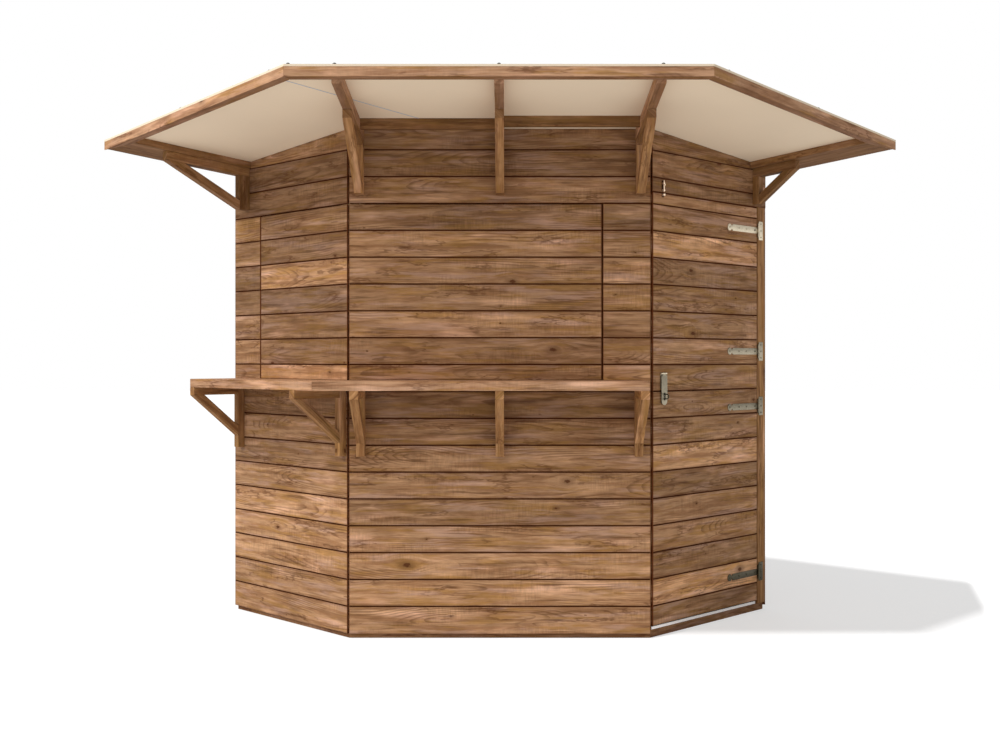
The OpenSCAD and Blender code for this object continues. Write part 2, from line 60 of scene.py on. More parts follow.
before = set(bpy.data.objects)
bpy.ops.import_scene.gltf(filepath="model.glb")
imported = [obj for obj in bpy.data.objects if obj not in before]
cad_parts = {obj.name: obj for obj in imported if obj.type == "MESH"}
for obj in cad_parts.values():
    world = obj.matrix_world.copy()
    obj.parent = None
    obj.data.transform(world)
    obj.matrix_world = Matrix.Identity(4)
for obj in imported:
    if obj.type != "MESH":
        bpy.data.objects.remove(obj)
CAD_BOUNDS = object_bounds()

# Plan of the shed, read from the frame's own pieces
FRONT_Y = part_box("front_lower")[0].y
HALF_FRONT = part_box("front_lower")[1].x
RUN = -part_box("left_lower")[0].x - HALF_FRONT
SIDE_W = RUN * math.sqrt(2)
BACK_W = (HALF_FRONT + RUN) * math.sqrt(2)
BACK_Y = FRONT_Y + HALF_FRONT + 2 * RUN
SPLIT_Z = (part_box("lower_leaf")[1].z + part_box("upper_leaf")[0].z) / 2
# Tangent of half the turn between two walls, for the mitres
T22 = math.tan(math.radians(22.5))

# Wall: (corner where it starts, its turn about Z in degrees)
WALLS = {
    "front": ((-HALF_FRONT, FRONT_Y), 0),
    "right": ((HALF_FRONT, FRONT_Y), 45),
    "back_right": ((HALF_FRONT + RUN, FRONT_Y + RUN), 135),
    "back_left": ((0.0, BACK_Y), 225),
    "left": ((-HALF_FRONT - RUN, FRONT_Y + RUN), 315),
}
# Underside of the roof over the front wall, and how much it falls for each metre towards the back
ROOF_Z = 2.182
ROOF_FALL = 0.107
# The flat rims over the back walls: their depth, and how far they reach in over a side wall
RIM_DEPTH = 0.030
RIM_IN = 0.134
# Depths in the wall, from its outer face: the cladding, the base ring's face and the wall's inner face
CLAD_T = 0.012
FRAME_IN = 0.0121
WALL_D = 0.057
# How far a board's tongue hangs down behind the gap over a door
DOOR_TONGUE = 0.0045
# The least height that a wall's last board has to have under the roof
LEAST_RISE = 0.004
BASE_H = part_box("base_frame")[1].z
FLOOR_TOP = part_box("floor_boards")[1].z


def linear(red, green, blue):
    """A colour given in 0 to 255 screen values, as linear light."""
    c = np.array([red, green, blue]) / 255
    return tuple(np.where(c <= 0.04045, c / 12.92, ((c + 0.055) / 1.055) ** 2.4).tolist())


# ---------------------------------------------------------------- settings


def length(name, default, text):
    """A length setting in metres."""
    return bpy.props.FloatProperty(name=name, description=text, default=default, min=0.0, unit="LENGTH", precision=4)


def colour(name, rgb, text):
    """A colour setting, its default given in screen values."""
    return bpy.props.FloatVectorProperty(
        name=name, description=text, subtype="COLOR", size=3, min=0.0, max=1.0, default=linear(*rgb)
    )


class BoardSettings(bpy.types.PropertyGroup):
    """Sizes of the wall boards."""

    pitch: length("Board cover", 0.115, "Height that one wall board covers")
    joint: length("Joint half width", 0.0024, "Half the width of the slot between two boards")
    joint_depth: length("Joint depth", 0.008, "Depth of the slot between two boards")
    edge: length("Board edge", 0.002, "Rounding of a board's long edges")
    inner_edge: length("Inner edge", 0.0012, "Bevel of a board's edges on the inner face")
    tone_spread: bpy.props.FloatProperty(
        name="Tone spread", description="How much boards differ in tone", default=0.24, min=0.0, max=1.0
    )


class TimberSettings(bpy.types.PropertyGroup):
    """Colours of the timbers."""

    board_light: colour("Board light", (187, 144, 106), "Light parts of the wall boards")
    board_mid: colour("Board middle", (153, 111, 77), "Middle tone of the wall boards")
    board_dark: colour("Board dark", (92, 58, 33), "Rings and streaks of the wall boards")
    board_patch: colour("Board patch", (188, 149, 126), "Pinkish patches of the wall boards")
    ochre: colour("Ochre", (164, 120, 66), "Yellowish stains in all timbers")
    planed_light: colour("Planed light", (191, 148, 114), "Light parts of the planed timbers")
    planed_mid: colour("Planed middle", (160, 117, 86), "Middle tone of the planed timbers")
    bracket_light: colour("Bracket light", (183, 137, 92), "Light parts of the brackets")
    bracket_mid: colour("Bracket middle", (151, 106, 66), "Middle tone of the brackets")
    inner_light: colour("Inner light", (212, 172, 122), "Light parts of the inner timbers")
    inner_mid: colour("Inner middle", (184, 142, 96), "Middle tone of the inner timbers")
    joint: colour("Joint", (92, 44, 15), "Depth of the joints between boards")
    knot: colour("Knot", (82, 44, 22), "Heart of a knot")
    edge: length("Timber edge", 0.0016, "Rounding of the planed timbers' edges")


class FinishSettings(bpy.types.PropertyGroup):
    """Colours of the roof sheets and the ironwork."""

    sheet: colour("Roof sheet", (244, 224, 196), "Roof sheets")
    # Painted light: the seam strip's pale bluish colour stands for daylight showing through the gap between the
    # sheets
    seam: colour("Seam", (182, 190, 206), "Sealing strip over the seam between the sheets")
    strip: colour("Threshold", (244, 240, 238), "Threshold strip")
    steel: colour("Steel", (206, 194, 170), "Bright plated steel of hinges and hasp")
    steel_dark: colour("Dull steel", (69, 63, 47), "Dull parts of the plated steel")
    # Painted highlight: the bolt's plating is near white to stand for the highlights on its ends
    bolt: colour("Bolt", (250, 226, 200), "Bright plating of the small bolt")
    bolt_dark: colour("Dull bolt", (66, 40, 20), "Dull parts of the small bolt")
    cap: colour("Screw caps", (66, 64, 62), "Caps of the screws in the roof")


class StageSettings(bpy.types.PropertyGroup):
    """Camera and light."""

    eye: bpy.props.FloatVectorProperty(
        name="Eye", description="Where the camera stands", size=3, unit="LENGTH", default=(0.022, -5.8253, 1.196)
    )
    lens: bpy.props.FloatProperty(name="Lens", description="Focal length in millimetres", default=44.01)
    shift: bpy.props.FloatVectorProperty(
        name="Shift", description="Sideways and upward shift of the view", size=2, default=(-0.005, -0.016)
    )
    sun: bpy.props.FloatProperty(name="Sun", description="Strength of the soft sun", default=2.8, min=0.0)
    box: bpy.props.FloatProperty(name="Soft box", description="Power of the soft box", default=640.0, min=0.0)
    sky: bpy.props.FloatProperty(name="Sky", description="Strength of the sky", default=0.45, min=0.0)


# ---------------------------------------------------------------- shader graphs


class Graph:
    """Adds nodes to a tree. A value is a number, a colour, or the output that feeds the socket."""

    def __init__(self, tree):
        self.tree = tree

    def link(self, output, socket):
        """Feeds the socket."""
        self.tree.links.new(output, socket)

    def fill(self, socket, value):
        """Sets the socket's own constant, or feeds it."""
        if isinstance(value, bpy.types.NodeSocket):
            self.link(value, socket)
        else:
            socket.default_value = (*value, 1.0) if socket.type == "RGBA" else value

    def node(self, kind, values=None, **settings):
        """A shader node, its inputs given by name or number."""
        made = self.tree.nodes.new("ShaderNode" + kind)
        for key, value in settings.items():
            setattr(made, key, value)
        self.feed(made, values or {})
        return made

    def feed(self, made, values):
        """Sets or feeds a node's inputs, given by name or number."""
        for key, value in values.items():
            self.fill(made.inputs[key], value)

    def math(self, operation, a, b=0.0, c=0.0, clamp=False):
        """The result of a Math node."""
        return self.node("Math", {0: a, 1: b, 2: c}, operation=operation, use_clamp=clamp).outputs[0]

    def add(self, a, b):
        """a plus b."""
        return self.math("ADD", a, b)

    def sub(self, a, b):
        """a less b."""
        return self.math("SUBTRACT", a, b)

    def mul(self, a, b):
        """a times b."""
        return self.math("MULTIPLY", a, b)

    def fit(self, value, factor, start):
        """value times factor, plus start."""
        return self.math("MULTIPLY_ADD", value, factor, start)

    def ramp(self, value, low, high, to_low=0.0, to_high=1.0):
        """A smooth step of value from low to high."""
        values = {"Value": value, "From Min": low, "From Max": high, "To Min": to_low, "To Max": to_high}
        return self.node("MapRange", values, interpolation_type="SMOOTHSTEP").outputs["Result"]

    def mix(self, factor, a, b, blend="MIX"):
        """The colour between a and b."""
        made = self.node("Mix", data_type="RGBA", blend_type=blend)
        for key, value in (("Factor", factor), ("A", a), ("B", b)):
            self.fill(next(s for s in made.inputs if s.name == key and s.enabled), value)
        return next(s for s in made.outputs if s.name == "Result" and s.enabled)

    def darkened(self, body, level):
        """The colour body times the number level."""
        grey = self.node("CombineColor", {0: level, 1: level, 2: level}).outputs[0]
        return self.mix(1.0, body, grey, "MULTIPLY")

    def noise(self, x, y, z, detail=2.0, rough=0.5, scale=1.0):
        """Noise at the point (x, y, z), from 0 to 1."""
        at = self.node("CombineXYZ", {0: x, 1: y, 2: z}).outputs[0]
        values = {"Vector": at, "Scale": scale, "Detail": detail, "Roughness": rough}
        return self.node("TexNoise", values).outputs[0]

    def xyz(self, vector):
        """The three parts of a vector."""
        return self.node("SeparateXYZ", {0: vector}).outputs

    def place(self, kind="Object"):
        """The point's own place, or the face's normal, in the piece's axes."""
        return self.xyz(self.node("TexCoord").outputs[kind])

    def attribute(self, name, output="Fac"):
        """A value that is stored on the piece's points."""
        return self.node("Attribute", attribute_name=name).outputs[output]

    def seen(self):
        """1 where the camera looks, straight, through glass or in a reflection, and 0 for scattered light."""
        path = self.node("LightPath").outputs
        either = self.math("MAXIMUM", path["Is Camera Ray"], path["Is Glossy Ray"])
        return self.math("MAXIMUM", either, path["Is Transmission Ray"])


FLOAT, VECTOR, COLOR = "NodeSocketFloat", "NodeSocketVector", "NodeSocketColor"


def group(name, inputs, outputs):
    """A new shader group with its sockets: {name: (socket type, default)}."""
    tree = bpy.data.node_groups.new(name, "ShaderNodeTree")
    for key, (kind, default) in inputs.items():
        socket = tree.interface.new_socket(key, in_out="INPUT", socket_type=kind)
        if default is not None:
            socket.default_value = default
    for key, kind in outputs.items():
        tree.interface.new_socket(key, in_out="OUTPUT", socket_type=kind)
    return tree, tree.nodes.new("NodeGroupInput").outputs, tree.nodes.new("NodeGroupOutput").inputs


def softwood_group():
    """Stained softwood. Grain is the point in the board: along it, across it and into it.

    The whole number nearest to the height across is the board's own number, and the rest of it is measured from
    the board's middle line. The rings are the distance from a pith line that wanders across and into the board:
    root of (height - wander) squared plus depth squared, so they draw arches where the depth changes. Knots lie
    at the centres of stretched cells and push the rings aside. Streaks are noise drawn out along the board.
    """
    inputs = {key: (COLOR, None) for key in ("Light", "Middle", "Dark", "Patch", "Ochre", "Knot", "Slot")}
    numbers = {"Tone": 0.5, "Joint": 0.0, "Figure": 1.0, "Knots": 0.5, "Patches": 1.0}
    inputs |= {key: (FLOAT, default) for key, default in numbers.items()}
    inputs["Grain"] = (VECTOR, None)
    tree, given, out = group("softwood", inputs, {"Color": COLOR, "Roughness": FLOAT, "Height": FLOAT})
    g = Graph(tree)
    x, across, z = g.xyz(given["Grain"])
    number = g.math("ROUND", across)
    y = g.sub(across, number)

    def drawn(along, height, stretch, into, detail, rough=0.5):
        """Noise that changes along times a metre along the board and stretch times a metre across it."""
        return g.noise(g.mul(x, along), g.mul(height, stretch), g.add(z, into), detail, rough)

    # Knots at the centres of cells 0.31 m long and 0.1 m high
    cell_x, cell_y = 3.2, 9.5
    at = g.node("CombineXYZ", {0: g.mul(x, cell_x), 1: g.mul(across, cell_y)}).outputs[0]
    cells = g.node("TexVoronoi", {"Vector": at, "Scale": 1.0, "Randomness": 0.85}, voronoi_dimensions="2D").outputs
    centre = g.xyz(cells["Position"])
    chance = g.node("SeparateColor", {0: cells["Color"]}).outputs
    off_x = g.sub(x, g.math("DIVIDE", centre[0], cell_x))
    off_y = g.sub(across, g.math("DIVIDE", centre[1], cell_y))
    reach = g.math("SQRT", g.add(g.mul(g.mul(off_x, off_x), 0.3), g.mul(off_y, off_y)))
    reach = g.add(reach, g.fit(drawn(110, y, 150, 0.0, 2.0), 0.009, -0.0045))
    size = g.fit(g.math("POWER", chance[0], 2.6), 0.0095, 0.0016)
    there = g.math("LESS_THAN", chance[1], given["Knots"])
    relative = g.math("DIVIDE", reach, size)
    knot, rim, push = (g.mul(g.ramp(relative, *ends), there) for ends in ((1.1, 0.55), (3.0, 0.9), (7.0, 0.4)))

    # Rings round the pith line, pushed aside by knots
    level = g.sub(y, g.mul(g.mul(off_y, push), 0.75))
    wander = g.fit(drawn(0.8, number, 0.73, 0.0, 1.0), 0.12, -0.06)
    depth = g.fit(drawn(0.8, number, 0.61, 11.0, 1.0), 0.4, -0.2)
    wobble = g.fit(drawn(9, level, 45, 0.0, 2.0), 0.007, -0.0035)
    from_pith = g.sub(level, wander)
    distance = g.math("SQRT", g.add(g.mul(from_pith, from_pith), g.add(g.mul(depth, depth), 0.00006)))
    turns = g.math("FRACT", g.mul(g.add(distance, wobble), 118.0))
    line = g.mul(g.ramp(turns, 0.42, 0.90), g.ramp(turns, 1.0, 0.92))
    shown = g.ramp(drawn(2.4, y, 14, 9.0, 1.5), 0.50, 0.64)
    rings = g.mul(g.mul(line, g.fit(shown, 0.85, 0.15)), given["Figure"])
    flow = g.fit(wobble, 0.35, level)

    # Fine checks follow the contour of a stretched noise
    contour = g.math("ABSOLUTE", g.add(drawn(7.0, flow, 34, 63.0, 3.0, 0.6), -0.5))
    crack = g.mul(g.ramp(contour, 0.05, 0.01), g.ramp(drawn(3.4, y, 16, 71.0, 2.0), 0.54, 0.64))

    # Stains drawn out along the board, one over the other
    warm = g.ramp(drawn(3.6, flow, 38, 3.0, 4.0, 0.65), 0.38, 0.62)
    body = g.mix(warm, given["Middle"], given["Light"])
    for along, stretch, into, rough, low, high, strength, key in (
        (3.8, 34, 51.0, 0.62, 0.50, 0.62, 0.68, "Ochre"),
        (3.0, 27, 17.0, 0.60, 0.52, 0.66, given["Patches"], "Patch"),
        (2.8, 44, 31.0, 0.65, 0.54, 0.68, 0.6, "Dark"),
    ):
        stain = g.ramp(drawn(along, flow, stretch, into, 4.0, rough), low, high)
        body = g.mix(g.mul(stain, strength), body, given[key])
    pale = g.ramp(drawn(2.7, flow, 17, 77.0, 3.5, 0.55), 0.53, 0.74)
    body = g.mix(g.mul(pale, 0.45), body, given["Patch"])

    # How light the wood is: streaks, fine grain, blotches, saw marks, pale places and the board's own tone
    streak = g.noise(g.mul(x, 2.6), g.mul(flow, 90), g.mul(z, 60), 4.0, 0.7)
    fine = g.noise(g.mul(x, 9), g.mul(flow, 240), g.mul(z, 300), 4.0, 0.7)
    sawn = g.mul(g.ramp(drawn(2.8, y, 11, 41.0, 1.0), 0.48, 0.64), given["Figure"])
    sawn = g.mul(g.add(drawn(115, y, 18, 5.0, 3.0, 0.65), -0.5), sawn)
    value = g.mul(g.fit(streak, 0.78, 0.61), g.fit(fine, 0.55, 0.725))
    for amount, factor, start in (
        (drawn(11.0, y, 17, 87.0, 3.0, 0.6), 0.55, 0.73),
        (sawn, 0.9, 1.0),
        (pale, 0.5, 0.96),
        (given["Tone"], 0.5, 0.75),
    ):
        value = g.mul(value, g.fit(amount, factor, start))
    body = g.darkened(body, value)

    # Lines and holes over it
    for strength, key in (
        (g.mul(rings, 0.62), "Dark"),
        (g.mul(crack, 0.5), "Knot"),
        (g.mul(rim, 0.45), "Dark"),
        (g.mul(knot, 0.85), "Knot"),
        (given["Joint"], "Slot"),
    ):
        body = g.mix(strength, body, given[key])
    height = g.sub(g.add(g.mul(streak, 0.8), g.mul(fine, 0.3)), g.mul(rings, 0.35))
    for key, result in (("Color", body), ("Roughness", g.fit(streak, 0.2, 0.62)), ("Height", height)):
        g.link(result, out[key])
    return tree


def empty_graph(data):
    """The graph of a material or a world, with nothing in it."""
    data.use_nodes = True
    data.node_tree.nodes.clear()
    return Graph(data.node_tree)


def new_material(name):
    """An empty material, its graph and its wired Principled shader."""
    material = bpy.data.materials.new(name)
    g = empty_graph(material)
    shader = g.node("BsdfPrincipled")
    g.link(shader.outputs[0], g.node("OutputMaterial").inputs[0])
    return material, g, shader


def rough_finish(g, shader, body, rough, height, distance, strength=0.3, **values):
    """Feeds the shader its colour, its roughness and the bumps of the given height."""
    bump = g.node("Bump", {"Strength": strength, "Distance": distance, "Height": height})
    g.feed(shader, {"Base Color": body, "Roughness": rough, "Normal": bump.outputs[0], **values})


# Timber finishes: whose colours, then how strong the figure, the knots, the patches and the painted shade on
# undersides are
STAINS = {
    "board_stain": ("board", 0.85, 0.24, 0.7, 0.0),
    "planed_stain": ("planed", 0.35, 0.12, 0.25, 0.55),
    "bracket_stain": ("bracket", 0.4, 0.12, 0.1, 0.4),
    "counter_stain": ("planed", 0.45, 0.15, 0.45, 0.0),
    "inner_softwood": ("inner", 0.6, 0.3, 0.2, 0.0),
}


def wood_material(name, kind, figure, knots, patches, under):
    """A timber finish: the softwood group with this finish's own colours.

    Faces that look straight down get painted shade: they blend towards the dark colour by the finish's share for
    undersides.
    """
    t = bpy.context.scene.bar_timber
    material, g, shader = new_material(name)
    values = {
        "Light": getattr(t, kind + "_light"), "Middle": getattr(t, kind + "_mid"), "Dark": t.board_dark,
        "Patch": t.board_patch, "Ochre": t.ochre, "Knot": t.knot, "Slot": t.joint,
        "Figure": figure, "Knots": knots, "Patches": patches,
        "Grain": g.attribute("grain", "Vector"), "Tone": g.attribute("tone"), "Joint": g.attribute("joint"),
    }  # fmt: skip
    tree = bpy.data.node_groups.get("softwood") or softwood_group()
    wood = g.node("Group", node_tree=tree)
    g.feed(wood, values)
    # Painted shade: faces that look down are darkened towards the dark stain colour
    down = g.mul(g.place("Normal")[2], -1.0)
    body = g.mix(g.mul(g.ramp(down, 0.8, 0.95), under), wood.outputs["Color"], t.board_dark)
    rough, height = wood.outputs["Roughness"], wood.outputs["Height"]
    rough_finish(g, shader, body, rough, height, 0.0007, 0.55, **{"Specular IOR Level": 0.08})
    return material


def seam_shift():
    """y - x of the roof's seam, from the left sheet's points nearest to the right sheet."""
    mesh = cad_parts["sheet_left"].data
    points = np.empty(len(mesh.vertices) * 3)
    mesh.vertices.foreach_get("co", points)
    points = points.reshape(-1, 3)
    return float((points[:, 1] - points[:, 0]).min())


def sheet_material(name, rgb):
    """Smooth pale sheet with a faint cloud and fine speckle.

    Its top is weathered: rain marks run down the fall, dust lies in patches and in the seam.
    """
    material, g, shader = new_material(name)
    at = g.place()
    up = g.place("Normal")[2]
    top = g.ramp(up, 0.6, 0.9)
    side = g.ramp(g.math("ABSOLUTE", up), 0.6, 0.2)
    cloud = g.noise(at[0], at[1], at[2], 3.0, 0.5, 2.2)
    speck = g.noise(at[0], at[1], at[2], 2.0, 0.6, 240.0)
    rain = g.noise(g.mul(at[0], 16.0), g.mul(at[1], 1.3), 3.0, 4.0, 0.6)
    dust = g.noise(at[0], at[1], 7.0, 5.0, 0.62, 4.5)
    marks = g.add(g.ramp(rain, 0.45, 0.72), g.ramp(dust, 0.48, 0.70))
    from_seam = g.math("ABSOLUTE", g.sub(g.sub(at[1], at[0]), seam_shift()))
    level = g.fit(cloud, 0.10, 0.92)
    for amount, factor, start in (
        (speck, 0.06, 0.97),
        (g.mul(marks, top), -0.07, 1.0),
        (g.mul(g.ramp(from_seam, 0.011, 0.002), top), -0.45, 1.0),
        (side, -0.11, 1.0),
    ):
        level = g.mul(level, g.fit(amount, factor, start))
    body, rough = g.darkened(tuple(rgb), level), g.fit(speck, 0.2, 0.6)
    rough_finish(g, shader, body, rough, speck, 0.0003, **{"Specular IOR Level": 0.12})
    return material


def plain_material(name, rgb, rough, metal=0.0):
    """A painted, plastic or plain metal finish with a slightly uneven sheen."""
    material, g, shader = new_material(name)
    at = g.place()
    uneven = g.noise(at[0], at[1], at[2], 3.0, 0.6, 60.0)
    body, rough = g.darkened(tuple(rgb), g.fit(uneven, 0.10, 0.95)), g.fit(uneven, 0.2, rough - 0.1)
    g.feed(shader, {"Base Color": body, "Roughness": rough, "Metallic": metal})
    return material


def steel_material(name, bright, dull):
    """Plated steel: spangled, dulled in patches, and paler where the tone value is high; on the hinges, hasp and bolt
    that tone also paints light and shade.
    """
    material, g, shader = new_material(name)
    at = g.place()
    point = g.node("CombineXYZ", {0: at[0], 1: at[1], 2: at[2]}).outputs[0]
    spangle = g.node("TexVoronoi", {"Vector": point, "Scale": 160.0}).outputs["Color"]
    spangle = g.node("SeparateColor", {0: spangle}).outputs[0]
    worn = g.noise(at[0], at[1], at[2], 4.0, 0.6, 55.0)
    amount = g.math("ADD", g.attribute("tone"), g.fit(worn, 0.24, -0.12), clamp=True)
    body = g.darkened(g.mix(amount, tuple(dull), tuple(bright)), g.fit(spangle, 0.16, 0.92))
    rough_finish(g, shader, body, g.fit(worn, 0.25, 0.33), worn, 0.0002, Metallic=0.9)
    return material


def finish(key):
    """The material of that name, made when it is first asked for."""
    known = bpy.data.materials.get(key)
    if known:
        return known
    if key in STAINS:
        return wood_material(key, *STAINS[key])
    f = bpy.context.scene.bar_finish
    others = {
        "roof_sheet_finish": (sheet_material, f.sheet),
        "seam_finish": (plain_material, f.seam, 0.5),
        "strip_finish": (plain_material, f.strip, 0.4, 0.3),
        "fixing_black": (plain_material, f.cap, 0.5),
        "bolt_plating": (steel_material, f.bolt, f.bolt_dark),
        "plated_steel": (steel_material, f.steel, f.steel_dark),
    }
    make, *values = others[key]
    return make(key, *values)


# ---------------------------------------------------------------- shapes


def on_wall(wall, x, d, z):
    """The points (x, d, z) of a wall's frame, in the row's frame: the corner, plus x along and d inwards."""
    (cx, cy), turn = WALLS[wall]
    c, s = math.cos(math.radians(turn)), math.sin(math.radians(turn))
    x, d, z = np.broadcast_arrays(x, d, z)
    return np.stack([cx + x * c - d * s, cy + x * s + d * c, z], axis=-1)


def roof_height(y):
    """Height of the roof's underside at a depth of the plan."""
    return ROOF_Z - ROOF_FALL * (y - FRONT_Y)


def add_object(name, data):
    """A new object in the scene."""
    made = bpy.data.objects.new(name, data)
    bpy.context.scene.collection.objects.link(made)
    return made


class Stock:
    """Gathers closed shapes into one mesh.

    Each point carries its place in its own board (grain), how light it is (tone) and how much of the joints' dark
    colour it shows (joint). On some pieces the tone also holds painted shade, and on some ironwork a painted
    highlight.
    """

    def __init__(self, seed):
        self.rng = np.random.default_rng(seed)
        self.points, self.faces, self.grain, self.tone, self.joint = [], [], [], [], []
        self.count = 0

    def offset(self):
        """A far-off place in the wood for the next board: a whole number across, its own board number."""
        along, number, into = self.rng.uniform(-40, 40, 3)
        return np.array([along, round(number), into])

    def add(self, points, faces, grain, tone, joint=0.0):
        """Adds a shape: points (n, 3), faces as lists of point numbers, board coordinates (n, 3)."""
        points = np.asarray(points, float).reshape(-1, 3)
        n = len(points)
        self.points.append(points)
        self.faces += [[int(v) + self.count for v in f] for f in faces]
        self.grain.append(np.asarray(grain, float).reshape(-1, 3))
        self.tone.append(np.broadcast_to(np.asarray(tone, float), n))
        self.joint.append(np.broadcast_to(np.asarray(joint, float).ravel(), n))
        self.count += n

    def build(self, name, material, body, nodes=(), slot=None, smooth=None):
        """Makes the object, turns its faces outwards and puts it on its body."""
        mesh = bpy.data.meshes.new(name)
        mesh.from_pydata(np.concatenate(self.points).tolist(), [], self.faces)
        bm = bmesh.new()
        bm.from_mesh(mesh)
        bmesh.ops.recalc_face_normals(bm, faces=bm.faces)
        bm.to_mesh(mesh)
        bm.free()
        for key, kind, values in (
            ("grain", "FLOAT_VECTOR", self.grain),
            ("tone", "FLOAT", self.tone),
            ("joint", "FLOAT", self.joint),
        ):
            data = mesh.attributes.new(key, kind, "POINT").data
            data.foreach_set("vector" if kind == "FLOAT_VECTOR" else "value", np.concatenate(values).ravel())
        if smooth is not None:
            mesh.shade_smooth()
            mesh.set_sharp_from_angle(angle=math.radians(smooth))
        obj = add_object(name, mesh)
        mesh.materials.append(finish(material))
        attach(obj, body)
        if nodes:
            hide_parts(*nodes)


def loop_faces(rows, columns, closed=True):
    """Faces of rows closed on themselves and carried through columns, point number column * rows + row.

    A closed set of columns meets its first one again.
    """
    count = columns if closed else columns - 1
    c, r = (v.ravel() for v in np.meshgrid(np.arange(count), np.arange(rows), indexing="ij"))
    c2, r2 = (c + 1) % columns, (r + 1) % rows
    return np.stack([c * rows + r, c * rows + r2, c2 * rows + r2, c2 * rows + r], axis=1).tolist()


def tube_faces(rows, columns):
    """Faces of an open set of columns with a fan on each end. The two fans' middles are the last two points."""
    r = np.arange(rows)
    after = (r + 1) % rows
    middle, far = np.full(rows, rows * columns), (columns - 1) * rows
    fans = np.concatenate([np.stack([middle, after, r], 1), np.stack([middle + 1, far + r, far + after], 1)])
    return loop_faces(rows, columns, closed=False) + fans.tolist()


def board(stock, wall, span, rise, joints, mitre=(0.0, 0.0), limit=None, steps=(), tone=0.5, drop=0.0):
    """A wall board over a span of x and a rise in z, with rounded edges and half a slot at each joint.

    The board's section is a closed row of points (depth, height). It is carried along the wall through
    columns: the mitre shifts a column by depth, the end columns are pushed in for a rounded end, and a
    column that meets the roof is squeezed in height so that its top follows the limit. A board over a
    door's gap has a tongue that hangs down by drop behind the gap.
    """
    s = bpy.context.scene.bar_boards
    (x0, x1), (z0, z1), (low_joint, high_joint) = span, rise, joints
    edge, slot, small, fade, t = s.edge, s.joint_depth, 0.3 * s.edge, 0.010, CLAD_T

    def half(joined, drop=0.0):
        """Depths and heights of one long edge, from the inner face outwards."""
        c = s.inner_edge
        j = s.joint if joined and not drop else 0.0
        first, second = (slot, slot) if joined or drop else (0.6 * t, 0.33 * t)
        heights = [c - drop, -drop, -drop, j, j, j + small, j + edge, j + edge + fade]
        return [t, t - c, first, second, edge, small, 0, 0], heights

    if limit is not None:
        near_end = 0.02
        along = np.linspace(x0, x1, 801)
        free = np.flatnonzero(limit(along) > z0 + LEAST_RISE)
        if not len(free):
            return
        x0, x1 = along[free[0]], along[free[-1]]
        over = limit(along) > z1
        steps = [*steps, *along[np.flatnonzero(over[1:] != over[:-1])].tolist()]
        steps = [x for x in steps if x0 + near_end < x < x1 - near_end]
    low_d, low_h = half(low_joint, drop)
    high_d, high_h = half(high_joint)
    depth = np.array(low_d + high_d[::-1])
    height = np.concatenate([z0 + np.array(low_h), z1 - np.array(high_h)[::-1]])

    # How much of the joint's dark colour shows at each point of the section
    dark = np.array([0, 0.8, 1, 1, 0.85, 0.5, 0.16, 0.0])
    weak = np.array([0, 0.3, 0.3, 0.3, 0.3, 0.25, 0.12, 0.0])
    mask = np.concatenate([dark if low_joint or drop else weak, (dark if high_joint else weak)[::-1]])

    # Columns: four at each end and two close together at each step
    tiny = 1e-5
    middle = sorted(x for step in steps for x in (step - tiny, step + tiny))
    inset = [0, edge, 1.5 * edge, edge + 0.5 * fade]
    xs = np.array([x0 + d for d in inset] + middle + [x1 - d for d in inset[::-1]])
    still = [0] * len(middle)
    push = np.array([edge, 0, 0, 0] + still + [0, 0, 0, edge])
    end_mask = np.array([1, 0.9, 0.3, 0] + still + [0, 0.3, 0.9, 1])
    slant = np.array([mitre[0]] * (4 + len(middle)) + [-mitre[1]] * 4)
    d = np.maximum(depth[None, :], push[:, None])
    x = xs[:, None] + slant[:, None] * d

    # The slot closes at the board's very ends, where its tongue would show
    shut = np.array([True, True, False, False] + [False] * len(middle) + [False, False, True, True])[:, None]
    full = np.where(np.arange(len(depth)) < len(low_d), z0, z1)[None, :]
    z = np.where(shut & (np.abs(full - height) < edge + 0.5 * fade), full, height[None, :])
    if limit is not None:
        share = np.clip((limit(xs) - z0) / (z1 - z0), 0.02, 1.0)
        z = z0 + (z - z0) * share[:, None]
    joint = np.where(depth[None, :] == t, 0.0, np.maximum(mask[None, :], end_mask[:, None]))
    ends = np.array([[x[k].mean(), t / 2, z[k].mean()] for k in (0, -1)])
    local = np.concatenate([np.stack([x, d, z], axis=-1).reshape(-1, 3), ends])
    points = on_wall(wall, local[:, 0], local[:, 1], local[:, 2])
    grain = local[:, [0, 2, 1]] - [0, (z0 + z1) / 2, 0] + stock.offset()
    joint = np.concatenate([joint.ravel(), [0.6, 0.6]])
    stock.add(points, tube_faces(len(depth), len(xs)), grain, tone, joint)


def courses(low, high):
    """Board edges between low and high: the joints stand at whole covers from the split of the door.

    A strip of less than the share least of a cover is left to its neighbour.
    """
    pitch, least = bpy.context.scene.bar_boards.pitch, 0.12
    first = math.ceil((low - SPLIT_Z) / pitch + least)
    last = math.floor((high - SPLIT_Z) / pitch - least)
    inner = [SPLIT_Z + pitch * k for k in range(first, last + 1)]
    return [low, *inner, high]


def boarding(stock, wall, span, low, high, mitre=(0.0, 0.0), limit=None, steps=(), tones=(), meets=(0, 0), drop=0.0):
    """All boards of a stretch of wall, from the lowest up. Tones come from the list, then by chance.

    meets says whether the stretch meets more boards below and above it, with a slot between them.
    """
    edges = courses(low, high)
    spread = bpy.context.scene.bar_boards.tone_spread
    for k, rise in enumerate(zip(edges[:-1], edges[1:])):
        tone = tones[k] if k < len(tones) else 0.5 + spread * float(stock.rng.uniform(-1, 1))
        above = (k < len(edges) - 2 or meets[1]) and goes_on(limit, span, rise[1])
        joints = (k > 0 or meets[0], above)
        board(stock, wall, span, rise, joints, mitre, limit, steps, tone, 0.0 if k else drop)


